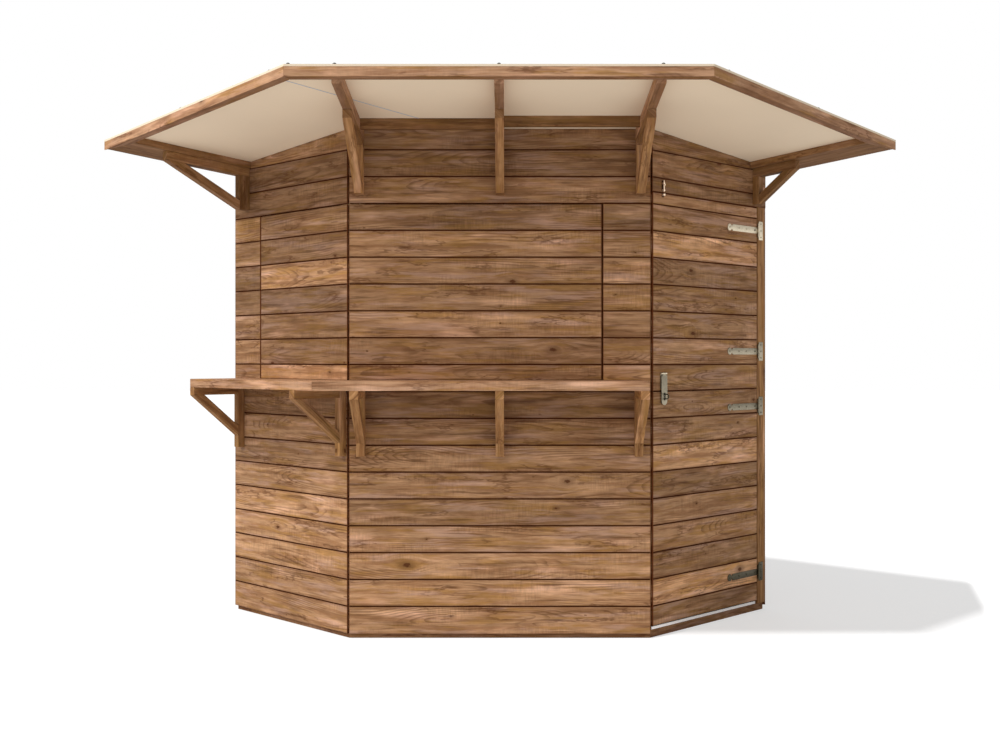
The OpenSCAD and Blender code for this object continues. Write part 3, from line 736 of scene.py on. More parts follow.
def boarded(seed, key, wall, span, low, high, body="shed", **more):
    """The boards of one piece of wall, in place of the node with that name."""
    stock = Stock(seed)
    boarding(stock, wall, span, low, high, tones=BOARD_TONE_AND_SHADE.get(key, ()), **more)
    stock.build(key + "_boards", "board_stain", body, [key], "cladding")


def goes_on(limit, span, z):
    """Whether the wall still goes on above z."""
    return limit is None or bool(np.any(limit(np.linspace(*span, 101)) > z + LEAST_RISE))


def rounded(outline, inset, radius):
    """The outline moved in by inset, with each corner cut to a three-point bend.

    A corner moves along the sum of its two edges' inward normals, scaled so that both edges move by inset.
    The bend's ends lie radius from the corner and its middle halfway between the corner and their middle.
    """
    p = np.asarray(outline, float)
    before = p - np.roll(p, 1, axis=0)
    after = np.roll(p, -1, axis=0) - p
    u = before / np.linalg.norm(before, axis=1, keepdims=True)
    v = after / np.linalg.norm(after, axis=1, keepdims=True)
    area = np.sum(p[:, 0] * np.roll(p[:, 1], -1) - p[:, 1] * np.roll(p[:, 0], -1))
    turn = np.sign(area)
    nu, nv = turn * np.stack([-u[:, 1], u[:, 0]], 1), turn * np.stack([-v[:, 1], v[:, 0]], 1)
    p = p + inset * (nu + nv) / (1 + np.sum(nu * nv, axis=1, keepdims=True))
    a, b = p - u * radius, p + v * radius
    return np.stack([a, (a + 2 * p + b) / 4, b], axis=1).reshape(-1, 2)


def slab(stock, outline, place, low, high, edge, along=(1.0, 0.0), tone=0.5, joint=0.0, radius=None):
    """A flat piece of any outline with rounded rims.

    The outline (u, v) is carried from w = low to w = high through six rings. The outer two at each side are
    moved in for the rim's rounding. place turns (u, v, w) into points. The grain runs along the direction along,
    and its height across grows with w too, so that it is drawn out along the edges as on the faces.
    """
    radius = edge if radius is None else radius
    rings = [(low, edge), (low + 0.3 * edge, 0.3 * edge), (low + edge, 0), (high - edge, 0),
             (high - 0.3 * edge, 0.3 * edge), (high, edge)]  # fmt: skip
    flat = [rounded(outline, inset, max(radius - 0.6 * inset, 2e-5)) for _, inset in rings]
    n = len(flat[0])
    uv = np.concatenate(flat)
    w = np.repeat([level for level, _ in rings], n)
    faces = loop_faces(n, len(rings), closed=False)
    faces += [list(range(n))[::-1], list(range(n * (len(rings) - 1), n * len(rings)))]
    u, v = uv[:, 0], uv[:, 1]
    du, dv = np.array(along) / np.hypot(*along)
    across = v * du - u * dv
    across += w - across.mean() - w.mean()
    grain = np.stack([u * du + v * dv, across, w], axis=1) + stock.offset()
    stock.add(place(u, v, w), faces, grain, tone, joint)


def lumber(name, nodes, material, slot, body="shed", seed=1, tones=(0.25, 0.75), aside=0.0):
    """Planed timbers of the CAD pieces' own shape, with rounded edges and the grain along the longest edge.

    Timbers beyond the front wall's width differ in tone by the last argument, which is painted shade that darkens the
    side brackets.
    """
    stock = Stock(seed)
    for key in nodes:
        whole = bmesh.new()
        whole.from_mesh(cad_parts[key].data)
        bmesh.ops.remove_doubles(whole, verts=whole.verts, dist=2e-5)
        whole.faces.ensure_lookup_table()
        left = set(whole.faces)
        while left:
            piece, wave = set(), {min(left, key=lambda f: f.index)}
            while wave:
                piece |= wave
                wave = {g for f in wave for e in f.edges for g in e.link_faces} - piece
            left -= piece
            part = bmesh.new()
            verts = sorted({v for f in piece for v in f.verts}, key=lambda v: v.index)
            copy = {v: part.verts.new(v.co) for v in verts}
            for f in sorted(piece, key=lambda f: f.index):
                part.faces.new([copy[v] for v in f.verts])
            middle = sum(v.co.x for v in part.verts) / len(part.verts)
            # Painted shade: timbers out beyond the front wall are made darker
            change = aside if abs(middle) > HALF_FRONT + 0.1 else 0.0
            timber(stock, part, float(stock.rng.uniform(*tones)) + change)
            part.free()
        whole.free()
    stock.build(name, material, body, nodes, slot)


def timber(stock, part, tone):
    """Adds one timber: flat faces are joined, edges rounded, and the board axes taken from its own edges.

    The height across in the wood grows with the depth too, so that all four sides show drawn-out grain.
    """
    bmesh.ops.recalc_face_normals(part, faces=part.faces)
    bmesh.ops.dissolve_limit(part, angle_limit=math.radians(0.6), verts=part.verts, edges=part.edges)
    longest = max(part.edges, key=lambda e: e.calc_length())
    a = (longest.verts[1].co - longest.verts[0].co).normalized()
    a = -a if max(a, key=abs) < 0 else a
    normals = [(f.calc_area(), f.normal) for f in part.faces if abs(f.normal.dot(a)) < 0.1]
    c = max(normals, key=lambda item: item[0])[1]
    b = c.cross(a).normalized()
    bmesh.ops.bevel(
        part, geom=list(part.edges), offset=bpy.context.scene.bar_timber.edge, offset_type="OFFSET",
        segments=2, profile=0.5, affect="EDGES", clamp_overlap=True,
    )  # fmt: skip
    part.verts.index_update()
    points = np.array([v.co[:] for v in part.verts])
    axes = np.array([a[:], b[:], (b.cross(a))[:]])
    grain = (points - points.mean(axis=0)) @ axes.T
    grain[:, 1] += grain[:, 2]
    grain += stock.offset()
    stock.add(points, [[v.index for v in f.verts] for f in part.faces], grain, tone)


def ring_of(axis, radii, heights, sides):
    """Points (side, row, 3) of rows of radius and height swept round an axis of length 1."""
    side = np.cross(axis, [0, 0, 1.0] if abs(axis[2]) < 0.9 else [1.0, 0, 0])
    side /= np.linalg.norm(side)
    other = np.cross(axis, side)
    angle = np.arange(sides)[:, None, None] * 2 * np.pi / sides
    return radii[..., None] * (np.cos(angle) * side + np.sin(angle) * other) + heights[..., None] * axis


def turned(stock, profile, centre, axis, sides, tone, recess=0.0):
    """A turned shape: the profile (radius, height) is swept round the axis through centre.

    With a recess, the middle rings sink on every other quarter, which leaves a cross-shaped slot.
    """
    axis = np.asarray(axis, float) / np.linalg.norm(axis)
    radius, height = np.array(profile, float).T
    angle = np.arange(sides) * 2 * np.pi / sides
    h = np.repeat(height[:, None], sides, 1)
    if recess:
        cross = (np.abs(np.sin(2 * angle)) < 0.45)[None, :] & (radius[:, None] < 0.62 * radius.max())
        cross &= height[:, None] > 0.5 * height.max()
        h = h - recess * cross
    ring = ring_of(axis, radius[None, :], h.T, sides).transpose(1, 0, 2)
    ends = [height[0] * axis, (height[-1] - recess) * axis]
    points = np.asarray(centre) + np.concatenate([ring.reshape(-1, 3), ends])
    stock.add(points, tube_faces(sides, len(profile)), points, tone)


def sleeve(stock, centre, axis, outer, inner, height, sides, tone, edge=0.0006):
    """A tube round the axis from centre upwards: its ringed section is swept round, with rounded rims."""
    radii = np.array([inner, outer - edge, outer, outer, outer - edge, inner])
    heights = np.array([0, 0, edge, height - edge, height, height])
    ring = ring_of(np.asarray(axis, float), radii[None, :], heights[None, :], sides)
    points = (np.asarray(centre) + ring).reshape(-1, 3)
    stock.add(points, loop_faces(len(radii), sides), points, tone)


def screw(stock, centre, axis, radius, tone):
    """A domed cross-head screw."""
    profile = [(0.9, -0.0004 / radius), (1, 0), (0.9, 0.27), (0.6, 0.45), (0.55, 0.45), (0.25, 0.45)]
    turned(stock, [(r * radius, h * radius) for r, h in profile], centre, axis, 16, tone, recess=radius * 0.3)


def corners(u0, v0, u1, v1):
    """The corners of a rectangle, anticlockwise from (u0, v0)."""
    return [(u0, v0), (u1, v0), (u1, v1), (u0, v1)]


def arc(cx, cy, radius, first, last, count):
    """Points of an arc, its angles in degrees."""
    angle = np.radians(np.linspace(first, last, count))
    return np.stack([cx + radius * np.cos(angle), cy + radius * np.sin(angle)], axis=1)


def wall_place(wall):
    """Turns (u, v, w) into a point of the wall: u along it, v inwards, w up."""
    return lambda u, v, w: on_wall(wall, u, v, w)


def right_place(x0=0.0, z0=0.0, out=0.0):
    """Turns (u, v, w) into a point of the door's wall: u along it, v up, w outwards."""
    return lambda u, v, w: on_wall("right", x0 + u, -(out + w), z0 + v)


def door_point(x, out, z):
    """A point of the door's wall, out in front of it."""
    return on_wall("right", x, -out, z)


# Thickness of the small ironwork's plates
THIN = 0.0015


def sheet_metal(stock, rectangle, x, z, tone, radius=None, thick=THIN, rim=0.0003):
    """A flat rectangle (u0, v0, u1, v1) on the door's wall, measured from the point (x, z)."""
    slab(stock, corners(*rectangle), right_place(x, z), 0.0, thick, rim, tone=tone, radius=radius)


def forge(stock, name, body, nodes, material="plated_steel"):
    """Builds a piece of ironwork."""
    stock.build(name, material, body, nodes, "zinc_steel", smooth=35)


# Directions on the door's wall: outwards, along it and up
DOOR_OUT = np.array([math.sin(math.radians(45)), -math.cos(math.radians(45)), 0.0])
DOOR_ALONG = np.array([math.cos(math.radians(45)), math.sin(math.radians(45)), 0.0])
UP = (0.0, 0.0, 1.0)


# ---------------------------------------------------------------- operators


class BarOperator:
    """Shared by the operators below: each makes one piece or one group of like pieces."""

    bl_options = {"REGISTER", "UNDO"}


# How light each board is, from the lowest up: 0.5 is the stain's own lightness, less is darker. Partly the boards'
# own tone and partly painted shade: the header rows below the roof and the boards just below the counter are set
# darker for the shade there
BOARD_TONE_AND_SHADE = {
    "front_lower": (0.68, 0.87, 0.79, 0.58, 0.13, 0.42, 0.50, 0.30, -0.12),
    "hatch_front": (0.33, 0.12, 0.48, 0.22, 0.29, 0.54, 0.02),
    "front_stile": (0.98, 0.36, 0.26, 0.38, 0.70, 0.42, -0.08),
    "front_header": (0.28, -0.06, -0.04),
    "left_lower": (0.48, 0.40, 0.74, 0.74, 0.80, 0.36, 0.0, 0.30, -0.04),
    "hatch_side": (0.84, -0.18, -0.14, -0.30, 0.94, -0.12, 0.18),
    "left_stile": (0.32, 0.28, 0.06, -0.32, -0.28, 0.12, 0.62),
    "left_header": (-0.04, -0.26, 0.30),
    "lower_leaf": (0.18, 1.70, 0.18, 0.60, 0.52, 0.06, 1.34, 0.22, 0.20),
    "upper_leaf": (0.22, 0.48, 0.24, 0.22, 0.04, 1.34, 0.24, 0.42),
    "right_header": (-0.30, 0.0, -0.22),
}


def roof_limit(wall, rim_from=0.0, rim_to=0.0):
    """Height of the roof over a wall's outer face as a function of x, less the rim between the two places."""
    (_, y0), turn = WALLS[wall]

    def limit(x):
        y = y0 + np.asarray(x) * math.sin(math.radians(turn))
        rim = (np.asarray(x) > rim_from) & (np.asarray(x) < rim_to)
        return roof_height(y) - 0.001 - np.where(rim, RIM_DEPTH * math.hypot(1, ROOF_FALL), 0.0)

    return limit


class BAR_OT_walls(BarOperator, bpy.types.Operator):
    """Board the front wall, the left wall, the wall over the door and the two back walls"""

    bl_idname = "bar.walls"
    bl_label = "Wall boards"

    def execute(self, context):
        counter_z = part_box("counter_front")[1].z
        hatch_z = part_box("front_header")[0].z
        door_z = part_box("right_header")[0].z
        # The boards go up past the roof's highest place and are cut there
        low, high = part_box("front_lower")[0].z, ROOF_Z + 0.09
        # A wall's end stands back by this much, where it meets the next wall
        gap = 0.0038
        front = (gap, 2 * HALF_FRONT - gap)
        side, back = (gap, SIDE_W - gap), (gap, BACK_W - gap)
        front_stile = (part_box("front_stile")[0].x + HALF_FRONT, 2 * HALF_FRONT - gap)
        left_stile = (gap, (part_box("left_stile")[1].x - CLAD_T / math.sqrt(2) + HALF_FRONT + RUN) * math.sqrt(2))
        on_left = roof_limit("left", -math.inf, RIM_IN)
        on_right = roof_limit("right", SIDE_W - RIM_IN, math.inf)
        on_back_left = roof_limit("back_left", -math.inf, math.inf)
        on_back_right = roof_limit("back_right", -math.inf, math.inf)
        rows = [
            # node, wall, from and to, lowest, highest, mitre at each end, roof's limit, steps in the limit
            ("front_lower", "front", front, low, counter_z, (T22, T22), None, ()),
            ("front_stile", "front", front_stile, counter_z, hatch_z, (0, T22), None, ()),
            ("front_header", "front", front, hatch_z, high, (T22, T22), roof_limit("front"), ()),
            ("left_lower", "left", side, low, counter_z, (1, T22), None, ()),
            ("left_stile", "left", left_stile, counter_z, hatch_z, (1, 0), None, ()),
            ("left_header", "left", side, hatch_z, high, (1, T22), on_left, (RIM_IN,)),
            ("right_header", "right", side, door_z, high, (T22, 1), on_right, (SIDE_W - RIM_IN,)),
            ("back_left_wall", "back_left", back, low, high, (1, 1), on_back_left, ()),
            ("back_right_wall", "back_right", back, low, high, (1, 1), on_back_right, ()),
        ]
        for seed, (key, wall, span, z0, z1, mitre, limit, steps) in enumerate(rows):
            meets = (key in ("front_header", "left_header"), key in ("front_stile", "left_stile"))
            drop = DOOR_TONGUE if key == "right_header" else 0.0
            boarded(11 + seed, key, wall, span, z0, z1, mitre=mitre, limit=limit, steps=steps, meets=meets, drop=drop)
        return {"FINISHED"}


class BAR_OT_hatches(BarOperator, bpy.types.Operator):
    """Board the two hatches and put their battens behind them"""

    bl_idname = "bar.hatches"
    bl_label = "Hatches"

    def execute(self, context):
        low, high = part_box("counter_front")[1].z + 0.0012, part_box("hatch_front")[1].z
        x0, x1 = (p.x + HALF_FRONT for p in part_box("hatch_front"))
        side_start = (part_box("hatch_side")[0].x + HALF_FRONT + RUN) * math.sqrt(2)
        boarded(31, "hatch_front", "front", (x0, x1), low, high, mitre=(T22, 0))
        boarded(32, "hatch_side", "left", (side_start, SIDE_W - x0), low, high, mitre=(0, T22))
        lumber("hatch_batten_set", ["hatch_battens"], "inner_softwood", "inner_timber", seed=33)
        return {"FINISHED"}


class BAR_OT_door(BarOperator, bpy.types.Operator):
    """Board the two door leaves and put their ledges behind them"""

    bl_idname = "bar.door"
    bl_label = "Door leaves"

    def execute(self, context):
        # The boards reach 3 mm nearer the corner than the leaf, and the lower ones 7 mm lower
        near, far = (p.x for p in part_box("lower_leaf"))
        start = (near - HALF_FRONT + CLAD_T / math.sqrt(2)) * math.sqrt(2) - 0.003
        end = (far - HALF_FRONT) * math.sqrt(2)
        for seed, leaf, body in ((41, "lower", "lower_door"), (42, "upper", "upper_door")):
            low, high = (p.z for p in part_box(leaf + "_leaf"))
            low, drop = (low - 0.007, 0.0) if leaf == "lower" else (low, DOOR_TONGUE)
            boarded(seed, leaf + "_leaf", "right", (start, end), low, high, body, drop=drop)
            lumber(leaf + "_leaf_ledges", [leaf + "_ledges"], "inner_softwood", "inner_timber", body, seed=seed + 2)
        return {"FINISHED"}


# Range in which each timber's tone falls. SHADED is painted shade: a darker range for the timbers that sit in the
# roof's shade
FAIR, SHADED = (0.3, 0.6), (-0.3, 0.0)
CANOPY = (
    # piece, the nodes it stands for, finish, tones, and the painted shade that darkens the timbers out at the sides
    ("edge_battens", ["fascia_front", "fascia_left", "fascia_right"], "planed_stain", FAIR, 0.0),
    ("back_rims", ["rim_left", "rim_right"], "bracket_stain", SHADED, 0.0),
    ("canopy_rafters", ["outer_rafters"], "planed_stain", FAIR, 0.0),
    ("canopy_cross_pieces", ["noggins"], "bracket_stain", SHADED, 0.0),
    ("roof_bracket_legs", ["roof_legs"], "bracket_stain", FAIR, -0.65),
    ("roof_bracket_arms", ["roof_arms"], "bracket_stain", SHADED, 0.0),
    ("roof_bracket_struts", ["roof_struts"], "bracket_stain", FAIR, -0.65),
    ("door_hinge_post", ["hinge_post"], "bracket_stain", FAIR, 0.0),
)


class BAR_OT_canopy(BarOperator, bpy.types.Operator):
    """Plane the roof's battens, rims, rafters, cross pieces and brackets"""

    bl_idname = "bar.canopy"
    bl_label = "Canopy timbers"

    def execute(self, context):
        for seed, (name, nodes, stain, tones, aside) in enumerate(CANOPY):
            lumber(name, nodes, stain, "planed_timber", seed=51 + seed, tones=tones, aside=aside)
        return {"FINISHED"}


class BAR_OT_roof(BarOperator, bpy.types.Operator):
    """Finish the roof sheets, put a pale bluish strip along their seam that paints daylight showing through the gap,
    and screw their edges down
    """

    bl_idname = "bar.roof"
    bl_label = "Roof sheets"

    def execute(self, context):
        for key in ("sheet_left", "sheet_right"):
            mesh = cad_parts[key].data
            mesh.materials.clear()
            mesh.materials.append(finish("roof_sheet_finish"))
        self.seam()
        self.fixings()
        return {"FINISHED"}

    def seam(self):
        """A thin pale bluish strip below the seam, painted light that stands for daylight through the gap between the
        sheets, from the front batten to the back rim along y - x = shift.
        """
        stock = Stock(61)
        shift = seam_shift()
        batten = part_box("fascia_front")[0]
        first = batten.x + batten.y + 0.040 * math.sqrt(2)
        last = BACK_Y - 0.02
        start, end = (np.array([(total - shift) / 2, (total + shift) / 2]) for total in (first, last))
        half = np.array([1, -1]) / math.sqrt(2) * 0.0022

        def place(u, v, w):
            return np.stack([u, v, roof_height(v) - w], axis=1)

        outline = [start - half, start + half, end + half, end - half]
        slab(stock, outline, place, 0.0002, 0.0012, 0.0002, along=(1.0, 1.0))
        stock.build("seam_strip", "seam_finish", "shed", (), "roof_sheet")

    def fixings(self):
        """Capped screws over the rafters' ends and along the side battens."""
        stock = Stock(62)
        low, high = CAD_BOUNDS
        sheet_t, inset, rafter, tail = 0.008, 0.010, 0.602, 0.772
        spots = [(x, low.y + 0.013) for x in (-tail, -rafter, 0.0, rafter)]
        # Along a side: shares of the way from the front corner of the roof to its tip
        corner, tip = np.array([0.7864, low.y]), np.array([high.x, FRONT_Y + 0.2])
        for side in (-1, 1):
            for share in (0.08, 0.54):
                x, y = corner + (tip - corner) * share
                spots.append((side * (x - inset), y + inset))
        profile = [(0.007, -0.001), (0.0088, 0.0), (0.0088, 0.0024), (0.007, 0.0056), (0.005, 0.0078),
                   (0.0022, 0.0088)]  # fmt: skip
        for x, y in spots:
            z = roof_height(y) + sheet_t * math.hypot(1, ROOF_FALL)
            turned(stock, profile, (x, y, z), (0, ROOF_FALL, 1.0), 12, 0.4)
        stock.build("roof_fixings", "fixing_black", "shed", (), "zinc_steel", smooth=40)


class BAR_OT_counter(BarOperator, bpy.types.Operator):
    """Lay the counter's planks and plane its brackets"""

    bl_idname = "bar.counter"
    bl_label = "Counter"

    def execute(self, context):
        low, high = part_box("counter_front")
        stock = Stock(71)
        planks, gap, mitre_gap, left_start = 3, 0.0016, 0.0004, 0.050
        width = (FRONT_Y - low.y - (planks - 1) * gap) / planks
        right = high.x + HALF_FRONT
        for wall in ("front", "left"):
            for k in range(planks):
                near = k * (width + gap)
                # The mitred ends run out by the tangent of half the turn between the walls
                ends = [reach * T22 - mitre_gap for reach in (near, near + width)]
                if wall == "front":
                    outline = [(-ends[0], -near), (right, -near), (right, -near - width), (-ends[1], -near - width)]
                else:
                    outline = [(left_start, -near), (SIDE_W + ends[0], -near), (SIDE_W + ends[1], -near - width),
                               (left_start, -near - width)]  # fmt: skip
                tone = 0.5 + 0.25 * float(stock.rng.uniform())
                slab(stock, outline, wall_place(wall), low.z, high.z, 0.0022, tone=tone)
        stock.build("counter_planks", "counter_stain", "shed", ["counter_front", "counter_left"], "counter_timber")
        for seed, part in enumerate(("legs", "arms", "struts")):
            name, nodes = "counter_bracket_" + part, ["counter_" + part]
            # The counter's side brackets are made darker by painted shade
            lumber(name, nodes, "bracket_stain", "planed_timber", seed=81 + seed, aside=-0.4)
        return {"FINISHED"}


def plan_corners(inset):
    """The five corners of the plan, moved in by inset from the outer face, anticlockwise from the front left."""
    r2 = math.sqrt(2)
    return np.array(
        [
            (-HALF_FRONT + inset * T22, FRONT_Y + inset),
            (HALF_FRONT - inset * T22, FRONT_Y + inset),
            (HALF_FRONT + RUN - r2 * inset, FRONT_Y + RUN),
            (0, BACK_Y - r2 * inset),
            (-HALF_FRONT - RUN + r2 * inset, FRONT_Y + RUN),
        ]
    )


def flat_place(u, v, w):
    """Plan coordinates as they are."""
    return np.stack([u, v, w], axis=1)


class BAR_OT_floor(BarOperator, bpy.types.Operator):
    """Lay the base ring, the floor boards, the bearers and the threshold strip"""

    bl_idname = "bar.floor"
    bl_label = "Base and floor"

    def execute(self, context):
        stock = Stock(91)
        outer, inner = plan_corners(FRAME_IN), plan_corners(WALL_D)
        for k in range(5):
            n = (k + 1) % 5
            outline, along = [outer[k], outer[n], inner[n], inner[k]], tuple(outer[n] - outer[k])
            tone = 0.1 * float(stock.rng.uniform())
            slab(stock, outline, flat_place, 0.0, BASE_H, 0.0015, along=along, tone=tone, joint=0.3)
        stock.build("base_ring", "board_stain", "shed", ["base_frame"], "base_timber")
        self.planks()
        lumber("floor_bearer_set", ["floor_bearers"], "inner_softwood", "base_timber", seed=93)
        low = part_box("threshold_strip")[0].z
        stock = Stock(94)
        # An angle strip: a flat foot and a lip in front, in depth and height
        front, lip, back, foot_top, lip_top = 0.0096, 0.0116, 0.054, low + 0.003, low + 0.0120
        section = [(front, low), (back, low), (back, foot_top), (lip, foot_top), (lip, lip_top), (front, lip_top)]
        x0, x1 = 0.010, SIDE_W - 0.078
        slab(stock, section, lambda u, v, w: on_wall("right", w, u, v), x0, x1, 0.0004, radius=0.0005)
        stock.build("threshold_plate", "strip_finish", "shed", ["threshold_strip"], "threshold_metal")
        return {"FINISHED"}

    def planks(self):
        """Floor boards from side to side. A board over the plan's widest place has a corner more at each end."""
        stock = Stock(92)
        corner = plan_corners(WALL_D + 0.0002)
        ys, halves = corner[[0, 2, 3], 1], corner[[1, 2, 3], 0]
        width, gap, start = 0.112, 0.001, corner[0][1]
        while start < ys[2] - 0.03:
            end = min(start + width, ys[2] - 0.004)
            rows = np.array([start, end] if not start < ys[1] < end else [start, ys[1], end])
            half = np.interp(rows, ys, halves)
            outline = np.concatenate([np.stack([half, rows], 1), np.stack([-half, rows], 1)[::-1]])
            tone = 0.4 + 0.4 * float(stock.rng.uniform())
            slab(stock, outline, flat_place, BASE_H + 0.0001, FLOOR_TOP, 0.0012, tone=tone)
            start = end + gap
        stock.build("floor_planks", "inner_softwood", "shed", ["floor_boards"], "inner_timber")


# How bright the plating of each hinge is, from the lowest up: painted light and shade, the same plating set duller on
# the lower hinges and brightest on the top one for the light each catches
HINGE_PAINTED_BRIGHTNESS = (-0.12, 0.18, 0.35, 0.81)
# Hinges: thickness of plate and strap, height of the plate and of a knuckle, and the pin's place along the wall
PLATE_T = 0.003
TEE_H = 0.088
KNUCKLE = TEE_H / 4
HINGE_X = SIDE_W - 0.074
# How far the pin stands out of the wall, and the radii of knuckle and pin
HINGE_OUT, HINGE_R, HINGE_PIN = 0.0065, 0.006, 0.003


class BAR_OT_hinges(BarOperator, bpy.types.Operator):
    """Forge the four tee hinges: plates and knuckles on the post, straps on the leaves"""

    bl_idname = "bar.hinges"
    bl_label = "Tee hinges"

    def execute(self, context):
        low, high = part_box("hinge_plates")
        heights = [low.z + TEE_H / 2, SPLIT_Z - 0.084, SPLIT_Z + 0.175, high.z - TEE_H / 2]
        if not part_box("lower_leaf")[0].z < heights[0] < heights[3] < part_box("upper_leaf")[1].z:
            raise RuntimeError("hinge heights lie outside the door")
        plates, straps = Stock(111), {"lower": Stock(112), "upper": Stock(113)}
        for k, (z, tone) in enumerate(zip(heights, HINGE_PAINTED_BRIGHTNESS)):
            self.plate(plates, z, tone)
            self.strap(straps["lower" if k < 2 else "upper"], z, tone)
        nodes = ["hinge_plates", "hinge_barrels", "hinge_pins"]
        forge(plates, "hinge_plate_set", "shed", nodes)
        for key, stock in straps.items():
            forge(stock, key + "_strap_pair", key + "_door", [key + "_straps"])
        return {"FINISHED"}

    def knuckle(self, stock, z, tone):
        """One knuckle round the hinge's pin, from z up."""
        centre = door_point(HINGE_X, HINGE_OUT, z)
        sleeve(stock, centre, UP, HINGE_R, HINGE_PIN + 0.0003, KNUCKLE, 20, tone)

    def plate(self, stock, z, tone):
        """The plate on the post with its screws, its two knuckles and the pin."""
        gap, start = 0.0004, HINGE_X + HINGE_R + 0.001
        sheet_metal(stock, (0, -TEE_H / 2, 0.034, TEE_H / 2), start, z, tone, 0.004, PLATE_T, 0.0005)
        for dz in (-0.031, 0.0, 0.031):
            screw(stock, door_point(start + 0.018, PLATE_T, z + dz), DOOR_OUT, 0.0042, tone * 0.5)
        foot = z - 1.5 * KNUCKLE - gap
        for z0 in (foot, z + KNUCKLE / 2 + gap):
            self.knuckle(stock, z0, tone)
            leaf = corners(-0.0005, 0, start - HINGE_X + 0.001, KNUCKLE)
            slab(stock, leaf, right_place(HINGE_X, z0), 0.0006, PLATE_T, 0.0004, tone=tone)
        pin, top = HINGE_PIN, 3 * KNUCKLE + 2 * gap
        profile = [(pin * 0.8, -0.001), (pin * 1.25, -0.0004), (pin, 0.0), (pin, top), (pin * 1.25, top + 0.0004),
                   (pin * 0.8, top + 0.001)]  # fmt: skip
        turned(stock, profile, door_point(HINGE_X, HINGE_OUT, foot), UP, 16, tone * 0.8)

    def strap(self, stock, z, tone):
        """A strap with a round end, a waist and a blade that narrows at the knuckle."""
        length, r, waist, blade, neck = 0.247, 0.016, 0.0072, 0.0150, KNUCKLE / 2
        cx = r - length
        open_angle = math.degrees(math.asin(waist / r))
        disc = arc(cx, 0, r, open_angle, 360 - open_angle, 33)
        x1 = cx + r + 0.0045
        notch = [(x1 - 0.002, -waist), (x1 + 0.003, -blade), (-0.011, -blade), (-0.009, -neck), (0.0005, -neck)]
        outline = np.concatenate([disc, notch, [(x, -y) for x, y in notch[::-1]]])
        slab(stock, outline, right_place(HINGE_X, z), 0.0, PLATE_T, 0.0004, tone=tone, radius=0.0003)
        self.knuckle(stock, z - neck, tone)
        # Screws: their place along the strap, the share of its tone, and the change of tone
        for x, share, change in ((cx, 0.75, 0), (cx + 0.075, 0.85, 0), (cx + 0.135, 0.85, 0), (-0.026, 0, -0.3)):
            screw(stock, door_point(HINGE_X + x, PLATE_T, z), DOOR_OUT, 0.0045, tone * share + change)


